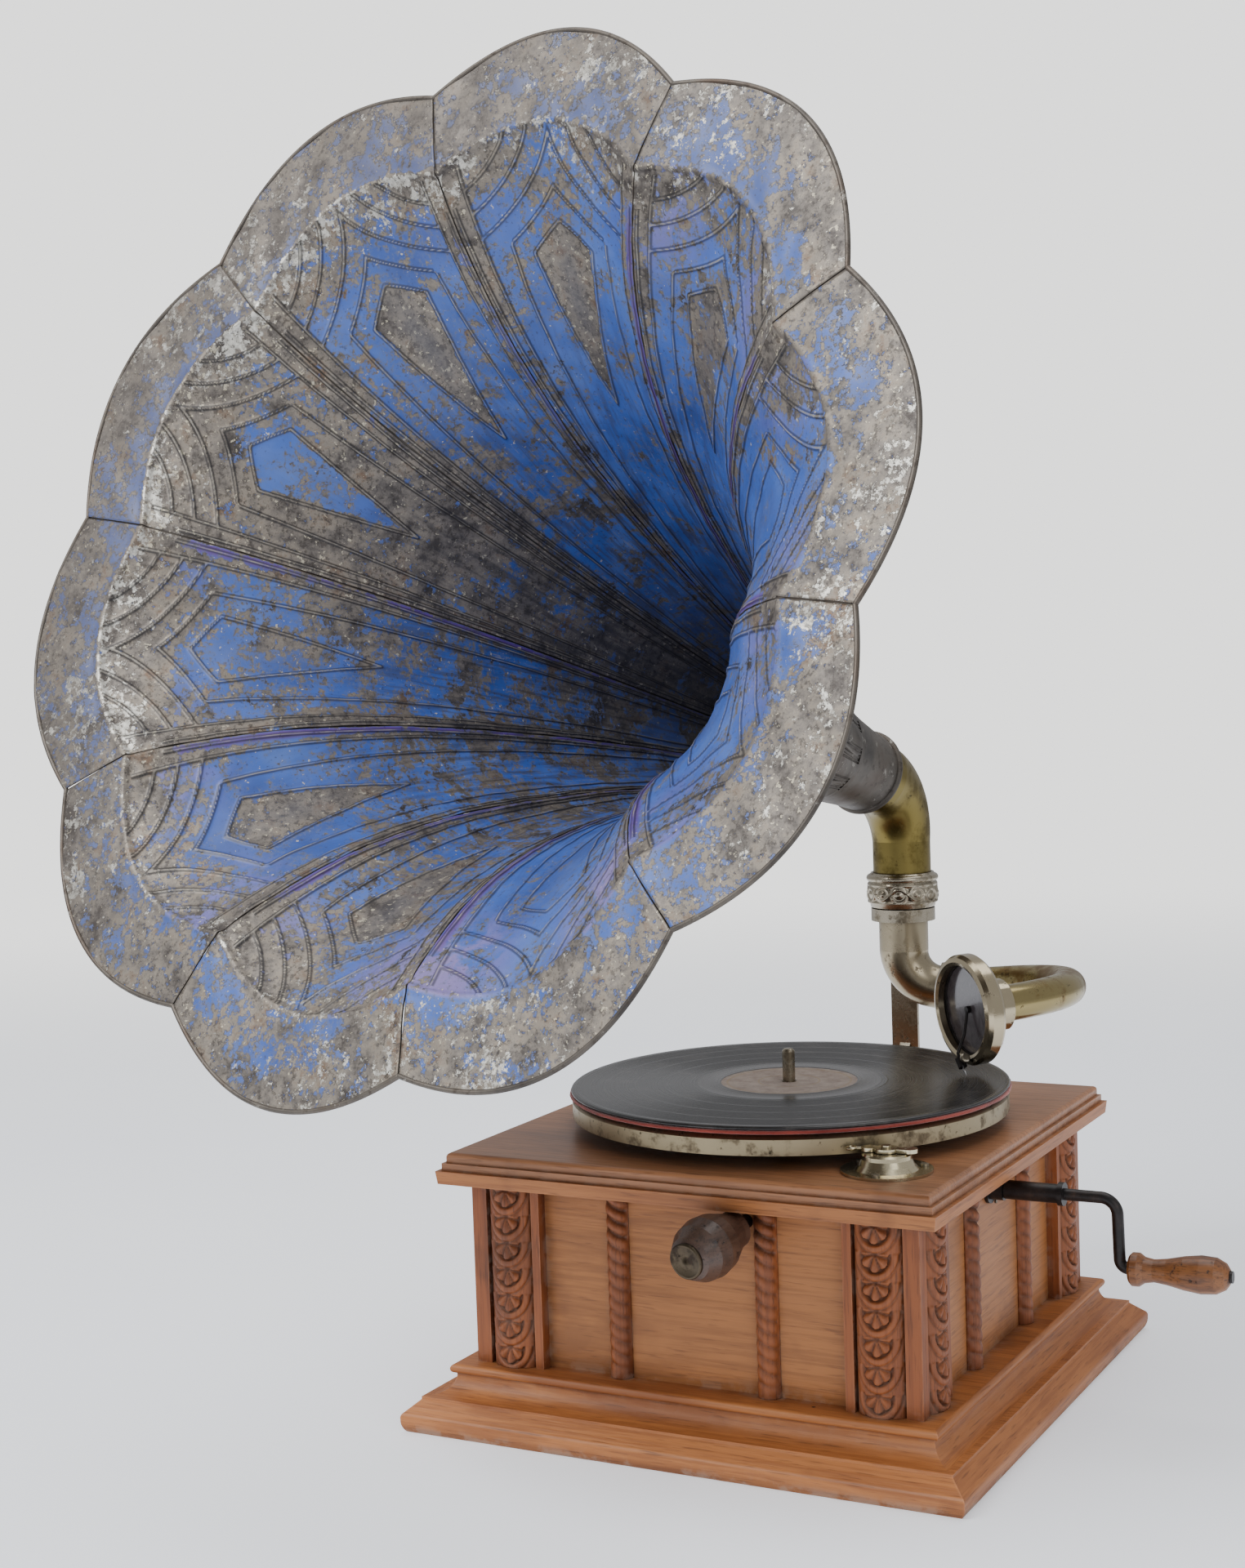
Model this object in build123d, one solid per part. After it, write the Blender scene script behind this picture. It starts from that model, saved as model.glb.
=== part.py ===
from build123d import *
import math
import os

# Wind-up horn phonograph. Millimetres, +Z up, +X to the right and -Y to the front.
# The origin is the centre of the underside of the base board.

# ---------------------------------------------------------------- driving dimensions
BASE_X = 160.5            # half width of the base at its bottom edge
BASE_Y = 164.3            # half depth of the base at its bottom edge
WALL_INSET = 29.7         # from the base edge in to the wall faces
PLINTH_TOP = 34.3
WALL_TOP = 135.7
CORNICE_TOP = 142.9
DECK = 152.5              # top face of the deck board
BASE_BOARD = 12.0         # thickness of the base board
WALL_X = BASE_X - WALL_INSET
WALL_Y = BASE_Y - WALL_INSET
POST = 42.0               # width of a corner post on each wall
POST_THICK = 15.0
PANEL_INSET = 7.0
PANEL_THICK = 7.0
COLUMN_WIDTH = 27.0
COLUMN_CENTRE = 23.0      # from the corner of the walls to the middle of a column
COLUMN_DEPTH = 9.0
PILASTER_WIDTH = 13.0
PILASTER_CENTRE = 43.5
PILASTER_DEPTH = 6.5
GAP = 0.3                 # air between pieces on different bodies

SPINDLE_X = 4.4
SPINDLE_Y = -4.6
SPINDLE_R = 3.6           # the free end that centres a record
SHAFT_R = 4.2              # below the record
SPINDLE_TIP = 194.0
PLATTER_R = 124.5
PLATTER_LOW = 160.0
PLATTER_TOP = 171.5
MAT_R = 126.5
MAT_THICK = 2.0
RECORD_R = 125.0
RECORD_THICK = 2.0
RECORD_TOP = PLATTER_TOP + MAT_THICK + RECORD_THICK

PIVOT_X = 1.5             # vertical axis of the horn and the tone arm
PIVOT_Y = 190.0
COLLAR_LOW = 252.0
COLLAR_HIGH = 270.0
COLLAR_R = 23.5
ARM_R = 15.75             # outside radius of the tone arm elbow
ARM_OUTLET_Z = 200.0
ARM_BEND_R = 24.5
ARM_HEADING = 11.0        # compass heading of the outlet, degrees from +X
ARM_RISE = 6.0            # the outlet points up by this much
ARM_ROLL = 2.886           # the tube's plane rolls up by this much
TUBE_R = 10.6
TUBE_BEND_R = 79.45
TUBE_TURN = 141.2
SOUNDBOX_R = 32.0

HORN_AIM = 8.9            # the horn points this far to the left of the front
HORN_TILT = 17.9          # and this far up
HORN_AXIS_Z = 328.0       # where the horn's axis crosses the pivot axis
HORN_RING_S = 46.0        # distances along the horn's axis from the pivot axis
HORN_NECK_S = 104.0
HORN_FOLD_S = 474.5
HORN_EDGE_S = 479.0
HORN_RING_R = 24.0
HORN_FOLD_R = 211.0
HORN_EDGE_R = 253.5
HORN_SCALLOP = 0.080      # how much a petal's middle stands out past its seams
HORN_PHASE = 136.2        # angle of the first seam about the horn's axis
PETALS = 10
SHEET = 1.0
SEAM_TRIM = 0.25         # degrees left open on each side of a seam
ELBOW_R = 18.5
ELBOW_END_R = 23.0
ELBOW_BEND_R = 45.0

BARREL_X = 70.0
BARREL_Y = -9.0
BARREL_R = 40.0
CRANK_Z = 124.0
MODULE = 1.0
GREAT_TEETH = 88
IDLER_PINION_TEETH = 12
IDLER_GEAR_TEETH = 60
SPINDLE_PINION_TEETH = 14
WORM_WHEEL_TEETH = 16      # driven through a worm with four starts
WORM_WHEEL_MODULE = 2.3
GOVERNOR_OFFSET = 25.0     # from the spindle to the governor shaft
CROWN_TEETH = 24
CRANK_PINION_TEETH = 12
RATCHET_TEETH = 24
PLATE_LOW = 56.0
PLATE_HIGH = 136.0
PLATE_THICK = 3.0
GOVERNOR_Z = 82.0

BRAKE_X = 102.0
BRAKE_Y = -103.0

parts = {}


# ---------------------------------------------------------------- small helpers
def cylinder(radius, low, high, x=0.0, y=0.0):
    """Upright cylinder from one height to another."""
    return Pos(x, y, (low + high) / 2) * Cylinder(radius, high - low)


def tube(outer, inner, low, high, x=0.0, y=0.0):
    """Upright pipe."""
    return cylinder(outer, low, high, x, y) - cylinder(inner, low - 1, high + 1, x, y)


def box(low, high):
    """Box between two corners."""
    size = [b - a for a, b in zip(low, high)]
    middle = [(a + b) / 2 for a, b in zip(low, high)]
    return Pos(*middle) * Box(*size)


def along(axis_plane, radius, start, length):
    """Cylinder on a plane's normal, from a start distance."""
    return axis_plane.offset(start) * Pos(0, 0, length / 2) * Cylinder(radius, length)


def revolved(points, plane=Plane.XZ, axis=Axis.Z):
    """Solid of revolution about the axis from a closed outline."""
    face = make_face(plane * Polyline(*points, close=True))
    return revolve(face, axis, 360)


def turned(axis_plane, outline):
    """Turned piece on a plane's normal, from (radius, distance) pairs."""
    points = [(0, outline[0][1])] + list(outline) + [(0, outline[-1][1])]
    solid = revolved(points)
    return axis_plane * solid


def gear(teeth, low, high, bore, phase=0.0, module=MODULE, x=0.0, y=0.0):
    """Spur gear with straight-flanked teeth that leave backlash."""
    pitch = teeth * module / 2
    outer = pitch + 0.85 * module
    root = pitch - 1.25 * module
    step = 360 / teeth
    points = []
    for tooth in range(teeth):
        middle = phase + tooth * step
        for radius, share in ((root, -0.30), (outer, -0.12), (outer, 0.12), (root, 0.30)):
            angle = math.radians(middle + share * step)
            points.append((radius * math.cos(angle), radius * math.sin(angle)))
    face = make_face(Polyline(*points, close=True))
    body = Pos(x, y, low) * extrude(face, high - low)
    return body - cylinder(bore, low - 1, high + 1, x, y)


def group(solids):
    """Separate solids kept in one node."""
    return Compound(children=list(solids))


# ---------------------------------------------------------------- cabinet
def moulding(profile_edges, deep):
    """Four mitred lengths of one profile round the cabinet; offsets are from the base edge."""
    lengths = []
    for side in range(4):
        reach, width = (BASE_Y, BASE_X) if side % 2 == 0 else (BASE_X, BASE_Y)
        plane = Plane(origin=(0, -reach, 0), x_dir=(0, -1, 0), z_dir=(-1, 0, 0))
        bar = extrude(make_face(plane * Wire(profile_edges)), width + 20, both=True)
        wedge = Polyline(
            (-width - 10, -reach - 10),
            (width + 10, -reach - 10),
            (width - deep, -reach + deep),
            (-width + deep, -reach + deep),
            close=True,
        )
        cutter = Pos(0, 0, -5) * extrude(make_face(wedge), DECK + 10)
        lengths.append(Rot(0, 0, 90 * side) * (bar & cutter))
    return group(lengths)


def plinth_profile():
    """Base moulding: rounded foot, slope, cove and a half-round nose under the walls."""
    return [
        Line((-42, 0), (0, 0)),
        ThreePointArc((0, 0), (1.8, 3.2), (2.3, 7)),
        ThreePointArc((2.3, 7), (2.0, 9.4), (0.5, 11)),
        Line((0.5, 11), (-6.5, 17)),
        Line((-6.5, 17), (-6.5, 18.5)),
        Line((-6.5, 18.5), (-9, 18.5)),
        ThreePointArc((-9, 18.5), (-17.5, 21.2), (-21, 27.5)),
        Line((-21, 27.5), (-21, 29.3)),
        ThreePointArc((-21, 29.3), (-18.1, 31.8), (-21, PLINTH_TOP)),
        Line((-21, PLINTH_TOP), (-42, PLINTH_TOP)),
        Line((-42, PLINTH_TOP), (-42, 0)),
    ]


def cornice_profile():
    """Moulding under the deck board: a plain band that leans out a little."""
    return [
        Line((-40, WALL_TOP), (-16.2, WALL_TOP)),
        Line((-16.2, WALL_TOP), (-15.3, CORNICE_TOP)),
        Line((-15.3, CORNICE_TOP), (-40, CORNICE_TOP)),
        Line((-40, CORNICE_TOP), (-40, WALL_TOP)),
    ]


parts["plinth_mouldings"] = moulding(plinth_profile(), 42)
parts["cornice_mouldings"] = moulding(cornice_profile(), 40)
parts["base_board"] = box((-BASE_X + 42, -BASE_Y + 42, 0), (BASE_X - 42, BASE_Y - 42, BASE_BOARD))

deck_low = box(
    (-BASE_X + 18, -BASE_Y + 18, CORNICE_TOP), (BASE_X - 18, BASE_Y - 18, CORNICE_TOP + 4.1)
)
deck_high = box(
    (-BASE_X + 20, -BASE_Y + 20, CORNICE_TOP + 4.1), (BASE_X - 20, BASE_Y - 20, DECK)
)
deck_high = fillet(deck_high.edges().group_by(Axis.Z)[-1], 2.4)
deck = deck_low + deck_high
SPINDLE_HOLE_R = 9.0
deck -= cylinder(SPINDLE_HOLE_R, CORNICE_TOP - 1, DECK + 1, SPINDLE_X, SPINDLE_Y)
parts["deck_board"] = deck


def corner_post(sign_x, sign_y):
    """L-shaped post with a shallow groove on each outer face for a carved column."""
    outer = box((WALL_X - POST, WALL_Y - POST, PLINTH_TOP), (WALL_X, WALL_Y, WALL_TOP))
    inner = box(
        (WALL_X - POST - 1, WALL_Y - POST - 1, PLINTH_TOP - 1),
        (WALL_X - POST_THICK, WALL_Y - POST_THICK, WALL_TOP + 1),
    )
    half = COLUMN_WIDTH / 2 + 0.5
    groove = 5.0
    middle_x = WALL_X - COLUMN_CENTRE
    middle_y = WALL_Y - COLUMN_CENTRE
    on_front = box(
        (middle_x - half, WALL_Y - groove, PLINTH_TOP - 1),
        (middle_x + half, WALL_Y + 1, WALL_TOP + 1),
    )
    on_side = box(
        (WALL_X - groove, middle_y - half, PLINTH_TOP - 1),
        (WALL_X + 1, middle_y + half, WALL_TOP + 1),
    )
    post = outer - inner - on_front - on_side
    if sign_x < 0:
        post = mirror(post, Plane.YZ)
    if sign_y < 0:
        post = mirror(post, Plane.XZ)
    return post


parts["corner_posts"] = group(corner_post(a, b) for a in (-1, 1) for b in (-1, 1))


def wall_spots(across):
    """Planes on the four walls, each side of the middle; X runs along the wall, Y outward."""
    spots = []
    for side in range(4):
        reach, half = (WALL_Y, WALL_X) if side % 2 == 0 else (WALL_X, WALL_Y)
        for sign in (-1, 1):
            spots.append(Rot(0, 0, 90 * side) * Pos(sign * across(half), -reach, 0))
    return spots


def half_round(width, depth, sunk, height_low, height_high):
    """Upright bar with a rounded front, its back sunk behind the wall face."""
    outline = [
        Line((-width / 2, sunk), (width / 2, sunk)),
        Line((width / 2, sunk), (width / 2, sunk - 2)),
        ThreePointArc((width / 2, sunk - 2), (0, sunk - depth), (-width / 2, sunk - 2)),
        Line((-width / 2, sunk - 2), (-width / 2, sunk)),
    ]
    face = make_face(Wire(outline))
    return Pos(0, 0, height_low) * extrude(face, height_high - height_low)


column = half_round(COLUMN_WIDTH, COLUMN_DEPTH, 5.0, PLINTH_TOP, WALL_TOP)
parts["carved_columns"] = group(
    spot * column for spot in wall_spots(lambda half: half - COLUMN_CENTRE)
)
pilaster = half_round(PILASTER_WIDTH, PILASTER_DEPTH, PANEL_INSET, PLINTH_TOP, WALL_TOP)
parts["bead_pilasters"] = group(spot * pilaster for spot in wall_spots(lambda half: PILASTER_CENTRE))

panel_x = WALL_X - POST
panel_y = WALL_Y - POST
front_panel = box(
    (-panel_x, -WALL_Y + PANEL_INSET, PLINTH_TOP),
    (panel_x, -WALL_Y + PANEL_INSET + PANEL_THICK, WALL_TOP),
)
back_panel = box(
    (-panel_x, WALL_Y - PANEL_INSET - PANEL_THICK, PLINTH_TOP),
    (panel_x, WALL_Y - PANEL_INSET, WALL_TOP),
)
right_panel = box(
    (WALL_X - PANEL_INSET - PANEL_THICK, -panel_y, PLINTH_TOP),
    (WALL_X - PANEL_INSET, panel_y, WALL_TOP),
)
left_panel = mirror(right_panel, Plane.YZ)

KNOB_X = 32.5
KNOB_Z = 126.0
KNOB_ROD_R = 3.5
knob_front = Plane(
    origin=(KNOB_X, -WALL_Y + PANEL_INSET, KNOB_Z), x_dir=(1, 0, 0), z_dir=(-0.14, -0.98, -0.14)
)
front_panel -= along(knob_front, KNOB_ROD_R + GAP, -30, 60)
CRANK_BUSH_R = 6.2
crank_plane = Plane(origin=(0, BARREL_Y, CRANK_Z), x_dir=(0, 1, 0), z_dir=(1, 0, 0))
right_panel -= along(crank_plane, CRANK_BUSH_R, WALL_X - 20, 30)
parts["front_panel"] = front_panel
parts["back_panel"] = back_panel
parts["right_panel"] = right_panel
parts["left_panel"] = left_panel

# ---------------------------------------------------------------- motor frame
PILLAR_R = 5.0
pillar_spots = [(x, y) for y in (-70.0, 62.0) for x in (-60.0, 106.0)]
plate_shape = ((-72.0, -82.0), (116.0, 74.0))


CLICK_PIN_R = 2.0
click_x = BARREL_X
click_y = BARREL_Y + 22.0


def motor_plate(low):
    """One of the two plates, with a bore for every upright arbor."""
    (x0, y0), (x1, y1) = plate_shape
    plate = box((x0, y0, low), (x1, y1, low + PLATE_THICK))
    for x, y, radius in (
        (SPINDLE_X, SPINDLE_Y, 8.0),
        (BARREL_X, BARREL_Y, 5.06),
        (IDLER_X, IDLER_Y, 2.56),
        (click_x, click_y, CLICK_PIN_R + 0.06),
    ):
        plate -= cylinder(radius, low - 1, low + PLATE_THICK + 1, x, y)
    return plate


great_r = GREAT_TEETH * MODULE / 2
idler_pinion_r = IDLER_PINION_TEETH * MODULE / 2
idler_gear_r = IDLER_GEAR_TEETH * MODULE / 2
spindle_pinion_r = SPINDLE_PINION_TEETH * MODULE / 2
reach_barrel = great_r + idler_pinion_r
reach_spindle = idler_gear_r + spindle_pinion_r
to_spindle = (SPINDLE_X - BARREL_X, SPINDLE_Y - BARREL_Y)
span = math.hypot(*to_spindle)
part_way = (reach_barrel**2 - reach_spindle**2 + span**2) / (2 * span)
aside = math.sqrt(reach_barrel**2 - part_way**2)
unit = (to_spindle[0] / span, to_spindle[1] / span)
IDLER_X = BARREL_X + part_way * unit[0] + aside * unit[1]
IDLER_Y = BARREL_Y + part_way * unit[1] - aside * unit[0]

parts["motor_plates"] = group((motor_plate(PLATE_LOW), motor_plate(PLATE_HIGH)))

pillars = []
for x, y in pillar_spots:
    pillar = cylinder(PILLAR_R, PLATE_LOW + PLATE_THICK, PLATE_HIGH, x, y)
    foot = cylinder(3.5, PLATE_LOW - 4, PLATE_LOW, x, y)
    spacer = cylinder(PILLAR_R, PLATE_HIGH + PLATE_THICK, CORNICE_TOP, x, y)
    pillars += [pillar, foot, spacer]
parts["motor_pillars"] = group(pillars)

BUSH_CLEAR = 0.05
upper_bush = tube(8.0, SHAFT_R + BUSH_CLEAR, PLATE_HIGH - 4, DECK + 2, SPINDLE_X, SPINDLE_Y)
lower_cup = cylinder(8.0, PLATE_LOW - 4, PLATE_LOW + PLATE_THICK + 2, SPINDLE_X, SPINDLE_Y)
lower_cup -= cylinder(SHAFT_R + BUSH_CLEAR, PLATE_LOW, PLATE_LOW + 10, SPINDLE_X, SPINDLE_Y)

governor_x = SPINDLE_X - GOVERNOR_OFFSET
governor_plane = Plane(origin=(governor_x, 0, GOVERNOR_Z), x_dir=(1, 0, 0), z_dir=(0, 1, 0))
GOVERNOR_FROM = -40.0
GOVERNOR_TO = 56.0
GOVERNOR_SHAFT_R = 1.6


def governor_bearing(y):
    """Upright bracket on the lower plate with a small bore for the governor shaft."""
    bracket = box(
        (governor_x - 5, y - 2, PLATE_LOW + PLATE_THICK), (governor_x + 5, y + 2, GOVERNOR_Z + 5)
    )
    return bracket - along(governor_plane, GOVERNOR_SHAFT_R + BUSH_CLEAR, y - 5, 10)


CRANK_R = 4.0
FLANGE_R = 8.4
crank_bush = along(crank_plane, CRANK_BUSH_R, WALL_X - 16, 18.5)
crank_bush += along(crank_plane, FLANGE_R, WALL_X - PANEL_INSET, 2.0)
crank_bush -= along(crank_plane, CRANK_R + BUSH_CLEAR, WALL_X - 20, 40)
hanger = box(
    (98, BARREL_Y - 8, CRANK_Z - 8), (104, BARREL_Y + 8, PLATE_HIGH)
) - along(crank_plane, CRANK_R + BUSH_CLEAR, 90, 20)
parts["bearing_bushes"] = group(
    (
        upper_bush,
        lower_cup,
        governor_bearing(GOVERNOR_FROM + 4),
        governor_bearing(GOVERNOR_TO - 4),
        crank_bush,
        hanger,
    )
)

# ---------------------------------------------------------------- spindle, platter and record
platter = revolved(
    [
        (9, PLATTER_TOP),
        (PLATTER_R - 3, PLATTER_TOP),
        (PLATTER_R, PLATTER_TOP - 3),
        (PLATTER_R, PLATTER_LOW),
        (PLATTER_R - 2.5, PLATTER_LOW),
        (PLATTER_R - 2.5, PLATTER_TOP - 3),
        (PLATTER_R - 4, PLATTER_TOP - 2.2),
        (14, PLATTER_TOP - 2.2),
        (12, PLATTER_LOW - 4),
        (SHAFT_R, PLATTER_LOW - 4),
        (SHAFT_R, PLATTER_TOP),
    ]
)
parts["platter"] = Pos(SPINDLE_X, SPINDLE_Y, 0) * platter
parts["felt_mat"] = tube(
    MAT_R, SHAFT_R, PLATTER_TOP, PLATTER_TOP + MAT_THICK, SPINDLE_X, SPINDLE_Y
)
parts["record"] = tube(
    RECORD_R, SHAFT_R, PLATTER_TOP + MAT_THICK, RECORD_TOP, SPINDLE_X, SPINDLE_Y
)
spindle = cylinder(SPINDLE_R, RECORD_TOP, SPINDLE_TIP, SPINDLE_X, SPINDLE_Y)
spindle = fillet(spindle.edges().group_by(Axis.Z)[-1], 2.0)
parts["spindle"] = spindle + cylinder(SHAFT_R, PLATE_LOW + GAP, RECORD_TOP, SPINDLE_X, SPINDLE_Y)
IDLER_LEVEL = 101.0
GEAR_THICK = 4.0

mesh_spindle = math.degrees(math.atan2(SPINDLE_Y - IDLER_Y, SPINDLE_X - IDLER_X))
mesh_barrel = math.degrees(math.atan2(BARREL_Y - IDLER_Y, BARREL_X - IDLER_X))
spindle_pinion = gear(
    SPINDLE_PINION_TEETH,
    IDLER_LEVEL - 1,
    IDLER_LEVEL + GEAR_THICK + 1,
    SHAFT_R,
    phase=mesh_spindle + 180 + 180 / SPINDLE_PINION_TEETH,
    x=SPINDLE_X,
    y=SPINDLE_Y,
)
worm_wheel = gear(
    WORM_WHEEL_TEETH,
    GOVERNOR_Z - GEAR_THICK / 2,
    GOVERNOR_Z + GEAR_THICK / 2,
    SHAFT_R,
    module=WORM_WHEEL_MODULE,
    x=SPINDLE_X,
    y=SPINDLE_Y,
)
parts["spindle_gears"] = group((spindle_pinion, worm_wheel))

# ---------------------------------------------------------------- spring barrel and winding
BARREL_LOW = 67.0
BARREL_HIGH = 98.0
BARREL_WALL = 1.6
ARBOR_R = 5.0
great_wheel = gear(
    GREAT_TEETH,
    BARREL_LOW - 3,
    BARREL_LOW + 1,
    ARBOR_R + BUSH_CLEAR,
    phase=mesh_barrel + 180,
    x=BARREL_X,
    y=BARREL_Y,
)
shell = cylinder(BARREL_R, BARREL_LOW + 1, BARREL_HIGH, BARREL_X, BARREL_Y)
shell -= cylinder(
    BARREL_R - BARREL_WALL, BARREL_LOW + 1, BARREL_HIGH - 2, BARREL_X, BARREL_Y
)
shell -= cylinder(ARBOR_R + BUSH_CLEAR, BARREL_LOW, BARREL_HIGH + 1, BARREL_X, BARREL_Y)
parts["spring_barrel"] = great_wheel + shell


def spring_strip():
    """Mainspring: one spiral strip from the barrel wall in towards the arbor."""
    turns = 7
    outer = BARREL_R - BARREL_WALL - 1.0
    inner = 12.0
    steps = 24 * turns
    thick = 0.9
    outside = []
    inside = []
    for step in range(steps + 1):
        share = step / steps
        angle = 2 * math.pi * turns * share
        radius = outer + (inner - outer) * share
        outside.append((radius * math.cos(angle), radius * math.sin(angle)))
        inside.append(((radius - thick) * math.cos(angle), (radius - thick) * math.sin(angle)))
    outline = [
        Spline(*outside),
        Line(outside[-1], inside[-1]),
        Spline(*reversed(inside)),
        Line(inside[0], outside[0]),
    ]
    strip = extrude(make_face(Wire(outline)), BARREL_HIGH - BARREL_LOW - 8)
    return Pos(BARREL_X, BARREL_Y, BARREL_LOW + 3) * strip


parts["mainspring"] = spring_strip()
arbor = cylinder(ARBOR_R, PLATE_LOW, PLATE_HIGH + PLATE_THICK, BARREL_X, BARREL_Y)
arbor -= box((BARREL_X - 1, BARREL_Y - 9, PLATE_LOW - 1), (BARREL_X + 1, BARREL_Y + 9, PLATE_LOW + 2))
parts["barrel_arbor"] = arbor

CROWN_R = 16.0
CRANK_PINION_R = CROWN_R * CRANK_PINION_TEETH / CROWN_TEETH
CROWN_FACE = CRANK_Z - CRANK_PINION_R
crown = tube(CROWN_R + 2, ARBOR_R, CROWN_FACE - 5.5, CROWN_FACE - 2.5, BARREL_X, BARREL_Y)
for tooth in range(CROWN_TEETH):
    step = 360 / CROWN_TEETH
    block = box((CROWN_R - 2, -0.7, CROWN_FACE - 2.6), (CROWN_R + 1.6, 0.7, CROWN_FACE + 0.3))
    crown += Pos(BARREL_X, BARREL_Y, 0) * Rot(0, 0, (tooth + 0.5) * step) * block
parts["crown_gear"] = crown


def ratchet():
    """Ratchet wheel under the crown gear, its teeth leaning one way."""
    step = 360 / RATCHET_TEETH
    points = []
    for tooth in range(RATCHET_TEETH):
        for radius, share in ((12.0, 0.0), (14.5, 0.06)):
            angle = math.radians((tooth + share) * step)
            points.append((radius * math.cos(angle), radius * math.sin(angle)))
    face = make_face(Polyline(*points, close=True))
    wheel = Pos(BARREL_X, BARREL_Y, RATCHET_LOW) * extrude(face, 3.0)
    return wheel - cylinder(ARBOR_R, RATCHET_LOW - 1, RATCHET_LOW + 4, BARREL_X, BARREL_Y)


RATCHET_LOW = 100.0
parts["ratchet_wheel"] = ratchet()

click = cylinder(3.5, RATCHET_LOW, RATCHET_LOW + 3, click_x, click_y)
click_arm = make_face(
    Polyline(
        (click_x - 2.5, click_y - 1),
        (click_x + 2.5, click_y + 1),
        (BARREL_X - 2.0, BARREL_Y + 15.5),
        (BARREL_X - 3.2, BARREL_Y + 13.6),
        close=True,
    )
)
click += Pos(0, 0, RATCHET_LOW) * extrude(click_arm, 3.0)
click += cylinder(CLICK_PIN_R, RATCHET_LOW, PLATE_HIGH + 2.0, click_x, click_y)
parts["click_pawl"] = click

# ---------------------------------------------------------------- idler and governor
IDLER_ARBOR_R = 2.5
idler_arbor = cylinder(IDLER_ARBOR_R, PLATE_LOW, PLATE_HIGH + PLATE_THICK, IDLER_X, IDLER_Y)
idler_pinion = gear(
    IDLER_PINION_TEETH,
    BARREL_LOW - 4,
    BARREL_LOW + 2,
    IDLER_ARBOR_R,
    phase=mesh_barrel + 180 / IDLER_PINION_TEETH,
    x=IDLER_X,
    y=IDLER_Y,
)
idler_gear = gear(
    IDLER_GEAR_TEETH,
    IDLER_LEVEL,
    IDLER_LEVEL + GEAR_THICK,
    IDLER_ARBOR_R,
    phase=mesh_spindle,
    x=IDLER_X,
    y=IDLER_Y,
)
parts["idler_wheels"] = group((idler_arbor, idler_pinion, idler_gear))

WORM_R = 3.6
DISC_R = 9.0                 # friction disc
DISC_AT = 44.0
governor_shaft = along(
    governor_plane, GOVERNOR_SHAFT_R, GOVERNOR_FROM, GOVERNOR_TO - GOVERNOR_FROM
)
governor_shaft += along(governor_plane, WORM_R, SPINDLE_Y - 9, 18)
governor_shaft += along(governor_plane, DISC_R, DISC_AT, 1.5)
parts["governor_shaft"] = governor_shaft
WEIGHT_ORBIT = 12.0
WEIGHT_R = 4.5
WEIGHT_AT = 26.5             # along the shaft
SPRING_REACH = 13.0          # from a weight to each spring collar's middle
SPRING_COLLAR_R = 4.0
SPRING_COLLAR = 3.0
weights = []
for end in (-1, 1):
    start = WEIGHT_AT + end * SPRING_REACH - SPRING_COLLAR / 2
    spring_collar = along(governor_plane, SPRING_COLLAR_R, start, SPRING_COLLAR)
    weights.append(spring_collar - along(governor_plane, GOVERNOR_SHAFT_R, start - 2, SPRING_COLLAR + 4))
for third in range(3):
    turn = Rot(0, 0, 120 * third)
    ball = turn * Pos(WEIGHT_ORBIT, 0, WEIGHT_AT) * Sphere(WEIGHT_R)
    leaf_outline = [
        (SPRING_COLLAR_R - 1, WEIGHT_AT - SPRING_REACH - 1),
        (SPRING_COLLAR_R, WEIGHT_AT - SPRING_REACH - 1),
        (WEIGHT_ORBIT + 0.5, WEIGHT_AT - 2),
        (WEIGHT_ORBIT + 0.5, WEIGHT_AT + 2),
        (SPRING_COLLAR_R, WEIGHT_AT + SPRING_REACH + 1),
        (SPRING_COLLAR_R - 1, WEIGHT_AT + SPRING_REACH + 1),
        (WEIGHT_ORBIT - 0.5, WEIGHT_AT + 1.5),
        (WEIGHT_ORBIT - 0.5, WEIGHT_AT - 1.5),
    ]
    leaf = extrude(make_face(Plane.XZ * Polyline(*leaf_outline, close=True)), 2.0, both=True)
    weights.append(governor_plane * (ball + turn * leaf))
parts["governor_weights"] = group(weights)

# ---------------------------------------------------------------- crank
CRANK_BEND_X = 195.5
CRANK_DROP = 37.5
ROD_R = 3.2
HANDLE_FROM = 202.0
HANDLE_TO = 255.0
crank_path = FilletPolyline(
    (WALL_X + 28, BARREL_Y, CRANK_Z),
    (CRANK_BEND_X, BARREL_Y, CRANK_Z),
    (CRANK_BEND_X + 1, BARREL_Y, CRANK_Z - CRANK_DROP),
    (HANDLE_TO + 1.5, BARREL_Y, CRANK_Z - CRANK_DROP + 1),
    radius=(9.0, 5.0),
)
rod_plane = Plane(origin=crank_path @ 0, z_dir=crank_path % 0)
crank_rod = sweep(rod_plane * Circle(ROD_R), path=crank_path)
crank_rod += along(crank_plane, CRANK_R, 80.0, WALL_X + 30 - 80.0)
crank_rod += along(crank_plane, 5.2, WALL_X + 3.0, 33.0)
crank_rod += along(crank_plane, 6.4, WALL_X + 33.0, 3.0)
parts["crank_rod"] = crank_rod

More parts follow.
